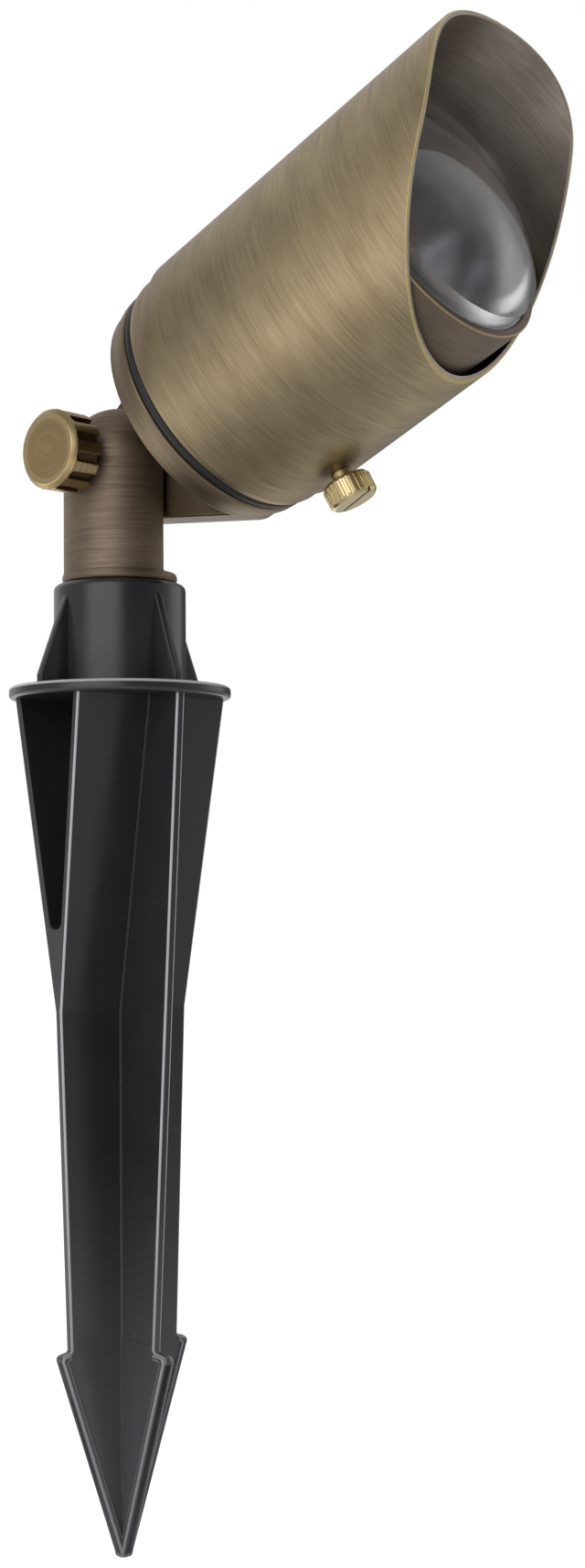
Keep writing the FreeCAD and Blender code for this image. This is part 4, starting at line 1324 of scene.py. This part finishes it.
@dataclass
class Knuckle:
    """The stem that carries the head, and the knob that locks it: the CAD shapes with eased edges."""

    frame: HeadFrame
    finishes: Finishes
    nodes: dict[str, Object]
    stem_edge: float = 0.3
    knob_edge: float = 0.14
    flute_floor: float = 9.1
    face: float = 23.0
    middle: float = 5.0
    lip: float = 0.8
    dish_depth: float = 0.2

    def stem(self) -> None:
        """The turned post with its collar and domed top, cut flat where the ear lies."""
        stem = eased("knuckle_post", self.nodes["knuckle_stem"], self.stem_edge)
        settle(wear(stem, self.finishes.stem_brass), "stem", Slot.BRASS, "knuckle_stem")

    def knob(self) -> None:
        """The fluted knob, with tarnish left in its milled slots and a painted highlight on its rim."""
        knob = eased("fluted_knob", self.nodes["thumb_knob"], self.knob_edge)
        dish(knob, self.frame.knuckle.to_3x3() @ Vector((0, 0, 1)), self.lip, self.dish_depth)
        wear(knob, self.finishes.knob_brass, self.finishes.dark_brass, self.finishes.rim_brass)
        repaint(knob, self.frame.knuckle, 1, self.in_flute)
        # The rim round the dished end wears a painted highlight.
        repaint(knob, self.frame.knuckle, 2, self.on_lip)
        settle(knob, "knob", Slot.BRASS, "thumb_knob")

    def in_flute(self, place: Vector) -> bool:
        """Whether a face of the knob lies in one of its slots."""
        return place.z < self.face - 1.0 and self.middle < math.hypot(place.x, place.y) < self.flute_floor

    def on_lip(self, place: Vector) -> bool:
        """Whether a face belongs to the knob's rim round its dished end, which wears a painted highlight."""
        return place.z > self.face - self.dish_depth and math.hypot(place.x, place.y) > self.middle

    def build(self) -> None:
        """Make the stem and the knob."""
        self.stem()
        self.knob()


@dataclass
class Sleeve:
    """The sliding glare shroud and its thumbscrew.

    The sleeve's rear and reaches are places along the beam. Heights are measured from its axis towards its
    long side.
    """

    frame: HeadFrame
    finishes: Finishes
    rear: float = 43.45
    radius: float = 30.97
    wall: float = 1.2
    rim_round: float = 0.3
    bright: float = 0.55
    long_reach: float = 130.3
    short_reach: float = 89.3
    nose_radius: float = 32.5
    nose_height: float = 27.0
    screw_place: float = 53.0
    shank_radius: float = 1.9
    shank_foot: float = 28.4
    neck_radius: float = 2.4
    neck_length: float = 2.0
    head_radius: float = 5.3
    head_length: float = 5.4
    knurl_height: float = 0.3
    knurl_count: int = 24
    knurl_half: float = 0.42
    knurl_edge: float = 0.14
    knurl_foot: float = 0.5
    knurl_crest: float = 0.85
    slot_width: float = 0.72
    slot_depth: float = 0.9
    slot_turn: float = 8.0
    segments: int = 224
    rows: int = 26
    core_segments: int = 64

    def cut(self, height: float) -> float:
        """How far forward the sleeve reaches at a height above its axis.

        Args:
            height: distance above the axis on the long side, in millimetres.

        Returns:
            The place of the cut along the beam.
        """
        ahead = self.long_reach - self.nose_radius - self.short_reach
        above = self.nose_height + self.radius
        tilt = math.atan(ahead / above) + math.asin(self.nose_radius / math.hypot(ahead, above))
        foot = self.nose_height - self.nose_radius * math.sin(tilt)
        if height >= self.nose_height:
            return self.long_reach
        centre = self.long_reach - self.nose_radius
        if height >= foot:
            return centre + math.sqrt(self.nose_radius**2 - (self.nose_height - height) ** 2)
        return self.short_reach + (height + self.radius) * math.tan(tilt)

    def shell(self) -> None:
        """The sleeve's wall, with a rounded bright rim where it was cut."""
        bore = self.radius - self.wall
        near, back = self.rim_round * 0.3, self.rim_round * 0.4
        rim = [(self.radius, self.rim_round), (self.radius - near, back), (self.radius - self.rim_round, 0.0),
               (self.radius - self.bright, 0.0), (bore + self.rim_round, 0.0), (bore + near, back),
               (bore, self.rim_round)]
        loop = [(self.radius, row / self.rows, None) for row in range(self.rows)]
        loop += [(radius, 1.0, back) for radius, back in rim]
        loop += [(bore, 1 - row / self.rows, None) for row in range(1, self.rows + 1)]
        bm = bmesh.new()
        columns = []
        for step in range(self.segments):
            angle = 2 * math.pi * step / self.segments
            column = []
            for radius, share, back in loop:
                front = self.cut(-radius * math.cos(angle))
                if back is None:
                    place = self.rear + (front - self.rim_round - self.rear) * share
                else:
                    place = front - back
                column.append(bm.verts.new((radius * math.cos(angle), radius * math.sin(angle), place)))
            columns.append(column)
        bright_rows = range(self.rows, self.rows + 3)
        for step, column in enumerate(columns):
            ahead = columns[(step + 1) % self.segments]
            for row in range(len(loop)):
                after = (row + 1) % len(loop)
                face = bm.faces.new((column[row], ahead[row], ahead[after], column[after]))
                if row in bright_rows:
                    face.material_index = 1
                elif row >= bright_rows.stop:
                    face.material_index = 2
        shell = finish_mesh("glare_sleeve", bm, self.frame.sleeve, 50)
        # The sleeve's inside wears oxidised brass lightened by painted light.
        wear(shell, self.finishes.head_brass, self.finishes.cut_brass, self.finishes.inner_brass)
        settle(shell, "shroud", Slot.BRASS, "glare_shroud")

    def screw(self) -> None:
        """The thumbscrew: a turned and slotted core inside a ring of straight knurls."""
        place = self.frame.sleeve @ Matrix.Translation((0, 0, self.screw_place)) @ Matrix.Rotation(
            math.pi / 2, 4, "Y")
        base = self.radius + 0.05
        under = base + self.neck_length
        face = under + self.head_length
        head = self.head_radius
        outline = softened([
            (0, self.shank_foot, 0), (self.shank_radius, self.shank_foot, 0.3),
            (self.shank_radius, base + 0.25, 0), (self.neck_radius, base + 0.25, 0),
            (self.neck_radius, under, 0.2), (head - 0.3, under, 0.4), (head, under + 0.6, 0.2),
            (head, face - 0.6, 0.2), (head - 0.4, face, 0.4), (0, face, 0),
        ])
        across, floor, over = head + 0.7, face - self.slot_depth, face + 1
        channel = [(-across, floor), (across, floor), (across, over), (-across, over)]
        slot = plate("slot_cutter", channel, -self.slot_width / 2, self.slot_width / 2,
                     place @ Matrix.Rotation(math.radians(self.slot_turn), 4, "Z"))
        core = carved(lathe("thumbscrew_core", outline, place, self.core_segments), slot)
        wear(core, self.finishes.screw_brass)
        settle(core, "shroud_screw", Slot.POLISHED, "shroud_thumbscrew")
        sunk, top = head - 0.2, head + self.knurl_height
        ridge = [(sunk, under + self.knurl_foot), (top, under + self.knurl_crest),
                 (top, face - self.knurl_crest), (sunk, face - self.knurl_foot)]
        stamp = plate("knurl_stamp", ridge, -self.knurl_half, self.knurl_half, Matrix.Identity(4),
                      self.knurl_edge)
        ridges = instances_on_ring("thumbscrew_knurl", stamp, self.knurl_count, place,
                                   self.finishes.screw_brass)
        settle(ridges, "shroud_screw", Slot.POLISHED)

    def build(self) -> None:
        """Make the sleeve and its screw."""
        self.shell()
        self.screw()


@dataclass(frozen=True)
class SoftGlow:
    """One soft patch of brightness on the studio's walls, seen only in reflections.

    Attributes:
        turn: its direction, in degrees to the right of the camera's own, seen from the object.
        height: its height above the horizon, in degrees.
        core: half the width of its even middle, in degrees.
        fade: where it has faded out, in degrees from its middle.
        strength: its brightness.
    """

    turn: float
    height: float
    core: float
    fade: float
    strength: float

    def direction(self, heading: float) -> Vector:
        """Find where the glow lies.

        Args:
            heading: the camera's heading, in degrees.

        Returns:
            Its direction from the object.
        """
        angle = math.radians(heading - 90 + self.turn)
        lift = math.radians(self.height)
        return Vector((math.cos(lift) * math.cos(angle), math.cos(lift) * math.sin(angle), math.sin(lift)))


@dataclass
class Studio:
    """A pale floor, a white backdrop and soft glows, with the camera at the photograph's angle.

    A fade gives two distances, in metres, and the brightness of the floor at each.

    Attributes:
        floor_height: where the floor lies.
        heading: how far the camera is turned to the left, in degrees.
        pitch: how far it looks up.
        roll: how far it leans.
        stand: the camera's place.
        lens: its focal length, in millimetres.
        surround: brightness of the walls in reflections, away from the glows.
        floor_seen: brightness of the floor where the camera sees it.
        pool: fade of the painted pool of light on the floor, to the right of the spike.
        far: fade of the floor with its distance from the spike.
        foot: fade of the painted shadow that the spike stands in.
        foot_place: the middle of that painted shadow.
        glows: the soft patches of brightness.
    """

    floor_height: float
    heading: float = 41.371
    pitch: float = 2.577
    roll: float = -0.45
    stand: tuple[float, float, float] = (0.36323, -0.35138, -0.0428)
    lens: float = 49.338
    surround: float = 0.1
    floor_seen: float = 0.8
    pool: Fade = (0.02, 0.27, 1.15, 0.1725)
    far: Fade = (0.3, 1.3, 1.0, 0.2)
    foot: Fade = (0.09, 0.42, 0.06, 1.0)
    foot_place: tuple[float, float, float] = (0, -0.05, 0)
    glows: list[SoftGlow] = field(default_factory=lambda: [
        SoftGlow(-25, 8, 14, 40, 1.75),
        SoftGlow(-95, 10, 10, 60, 0.35),
        SoftGlow(0, 90, 10, 75, 0.35),
        SoftGlow(118, 5, 6, 26, 0.7),
        SoftGlow(105, 35, 20, 55, 0.4),
        SoftGlow(-150, 22, 12, 42, 0.55),
    ])

    def camera(self) -> None:
        """The camera, as solved from the photograph's outlines."""
        data = bpy.data.cameras.new("photo_camera")
        data.sensor_width = 36.0
        data.lens = self.lens
        data.clip_start = 0.01
        camera = bpy.data.objects.new("photo_camera", data)
        bpy.context.scene.collection.objects.link(camera)
        turned = Matrix.Rotation(math.radians(self.heading), 4, "Z")
        turned = turned @ Matrix.Rotation(math.radians(90 + self.pitch), 4, "X")
        turned = turned @ Matrix.Rotation(math.radians(self.roll), 4, "Z")
        camera.matrix_world = Matrix.Translation(self.stand) @ turned
        bpy.context.scene.camera = camera

    def floor(self) -> None:
        """A wide pale floor under the spike's tip."""
        bm = bmesh.new()
        bmesh.ops.create_grid(bm, x_segments=1, y_segments=1, size=8)
        mesh = bpy.data.meshes.new("studio_floor")
        bm.to_mesh(mesh)
        bm.free()
        floor = bpy.data.objects.new("studio_floor", mesh)
        floor.location = (0, 0, self.floor_height)
        bpy.context.scene.collection.objects.link(floor)
        # Matt white paint scatters light evenly and shows no highlight. Seen in reflections, the floor glows
        # with a painted pool of light and a painted shadow round the spike's foot; the camera sees it even.
        material = new_material("matt_white_paint")
        tree = material.node_tree
        shader = shader_of(material)
        where = add_node(tree, "ShaderNodeTexCoord")
        angle = math.radians(self.heading)
        across = add_node(tree, "ShaderNodeVectorMath", {
            "operation": "DOT_PRODUCT", 1: (math.cos(angle), math.sin(angle), 0),
        }, {0: where.outputs["Object"]})
        reach = add_node(tree, "ShaderNodeVectorMath", {"operation": "LENGTH"}, {0: where.outputs["Object"]})
        spot = add_node(tree, "ShaderNodeVectorMath", {"operation": "DISTANCE", 1: self.foot_place},
                        {0: where.outputs["Object"]})
        glow = None
        for place, (start, end, before, after) in ((across, self.pool), (reach, self.far), (spot, self.foot)):
            fade = add_node(tree, "ShaderNodeMapRange", {
                "interpolation_type": "SMOOTHSTEP", "From Min": start, "From Max": end, "To Min": before,
                "To Max": after}, {"Value": place.outputs["Value"]})
            if glow:
                fade = add_node(tree, "ShaderNodeMath", {"operation": "MULTIPLY"}, {0: glow, 1: fade})
            glow = fade
        path = add_node(tree, "ShaderNodeLightPath")
        seen = add_node(tree, "ShaderNodeMix", {3: self.floor_seen},
                        {0: path.outputs["Is Camera Ray"], 2: glow})
        tree.links.new(seen.outputs[0], shader.inputs["Emission Strength"])
        shader.inputs["Base Color"].default_value = linear("#D8D8D8")
        shader.inputs["Roughness"].default_value = 0.9
        shader.inputs["Specular IOR Level"].default_value = 0.1
        shader.inputs["Emission Color"].default_value = (1, 1, 1, 1)
        wear(floor, material)
        floor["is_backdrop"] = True

    def backdrop(self) -> None:
        """A sky that is white behind the object, and grey with soft glows in its reflections."""
        world = bpy.data.worlds.new("studio")
        world.use_nodes = True
        tree = world.node_tree
        background = next(n for n in tree.nodes if n.type == "BACKGROUND")
        where = add_node(tree, "ShaderNodeTexCoord")
        total = add_node(tree, "ShaderNodeValue")
        total.outputs[0].default_value = self.surround
        for glow in self.glows:
            near = add_node(tree, "ShaderNodeVectorMath", {
                "operation": "DOT_PRODUCT", 1: glow.direction(self.heading)}, {0: where.outputs["Generated"]})
            patch = add_node(tree, "ShaderNodeMapRange", {
                "interpolation_type": "SMOOTHSTEP", "From Min": math.cos(math.radians(glow.fade)),
                "From Max": math.cos(math.radians(glow.core)), "To Max": glow.strength,
            }, {"Value": near.outputs["Value"]})
            total = add_node(tree, "ShaderNodeMath", {"operation": "ADD"}, {0: total, 1: patch})
        path = add_node(tree, "ShaderNodeLightPath")
        strength = add_node(tree, "ShaderNodeMix", {3: 1.0}, {0: path.outputs["Is Camera Ray"], 2: total})
        background.inputs["Color"].default_value = (1, 1, 1, 1)
        tree.links.new(strength.outputs[0], background.inputs["Strength"])
        bpy.context.scene.world = world

    def build(self) -> None:
        """Set up the whole studio."""
        bpy.context.scene.view_settings.view_transform = "Standard"
        self.floor()
        self.backdrop()


def main() -> None:
    """Load the frame, build each part of the spotlight on it, and set up the studio."""
    logging.basicConfig(level=logging.INFO, format="%(message)s")
    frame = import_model()
    joints = {joint["name"]: joint for joint in frame["joints"]}
    head = HeadFrame(Vector(joints["head_tilt"]["pos_m"]), Vector(joints["shroud_slide"]["axis"]))
    studio = Studio(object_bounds()[0].z)
    studio.camera()
    finishes = Finishes(head)
    GroundSpike(finishes).build()
    LampHead(head, finishes).build()
    nodes = frame["nodes"]
    Knuckle(head, finishes, nodes).build()
    Sleeve(head, finishes).build()
    carried = {
        "knuckle_seal": finishes.rubber, "lens_gasket": finishes.silicone, "lamp_reflector": finishes.mirror,
        "lamp_front_glass": finishes.cover_glass, "lamp_capsule": finishes.frosting,
        "lamp_base": finishes.ceramic, "lamp_pins": finishes.steel, "lamp_socket": finishes.ceramic,
        "socket_bracket": finishes.steel, "bracket_screws": finishes.steel,
        "socket_leads": finishes.insulation, "knob_stud": finishes.knob_brass, "knob_washer": finishes.steel,
    }
    for name, material in carried.items():
        wear(nodes[name], material)
        LOG.info("%s wears %s", name, material.name)
    studio.build()


if __name__ == "__main__":
    main()
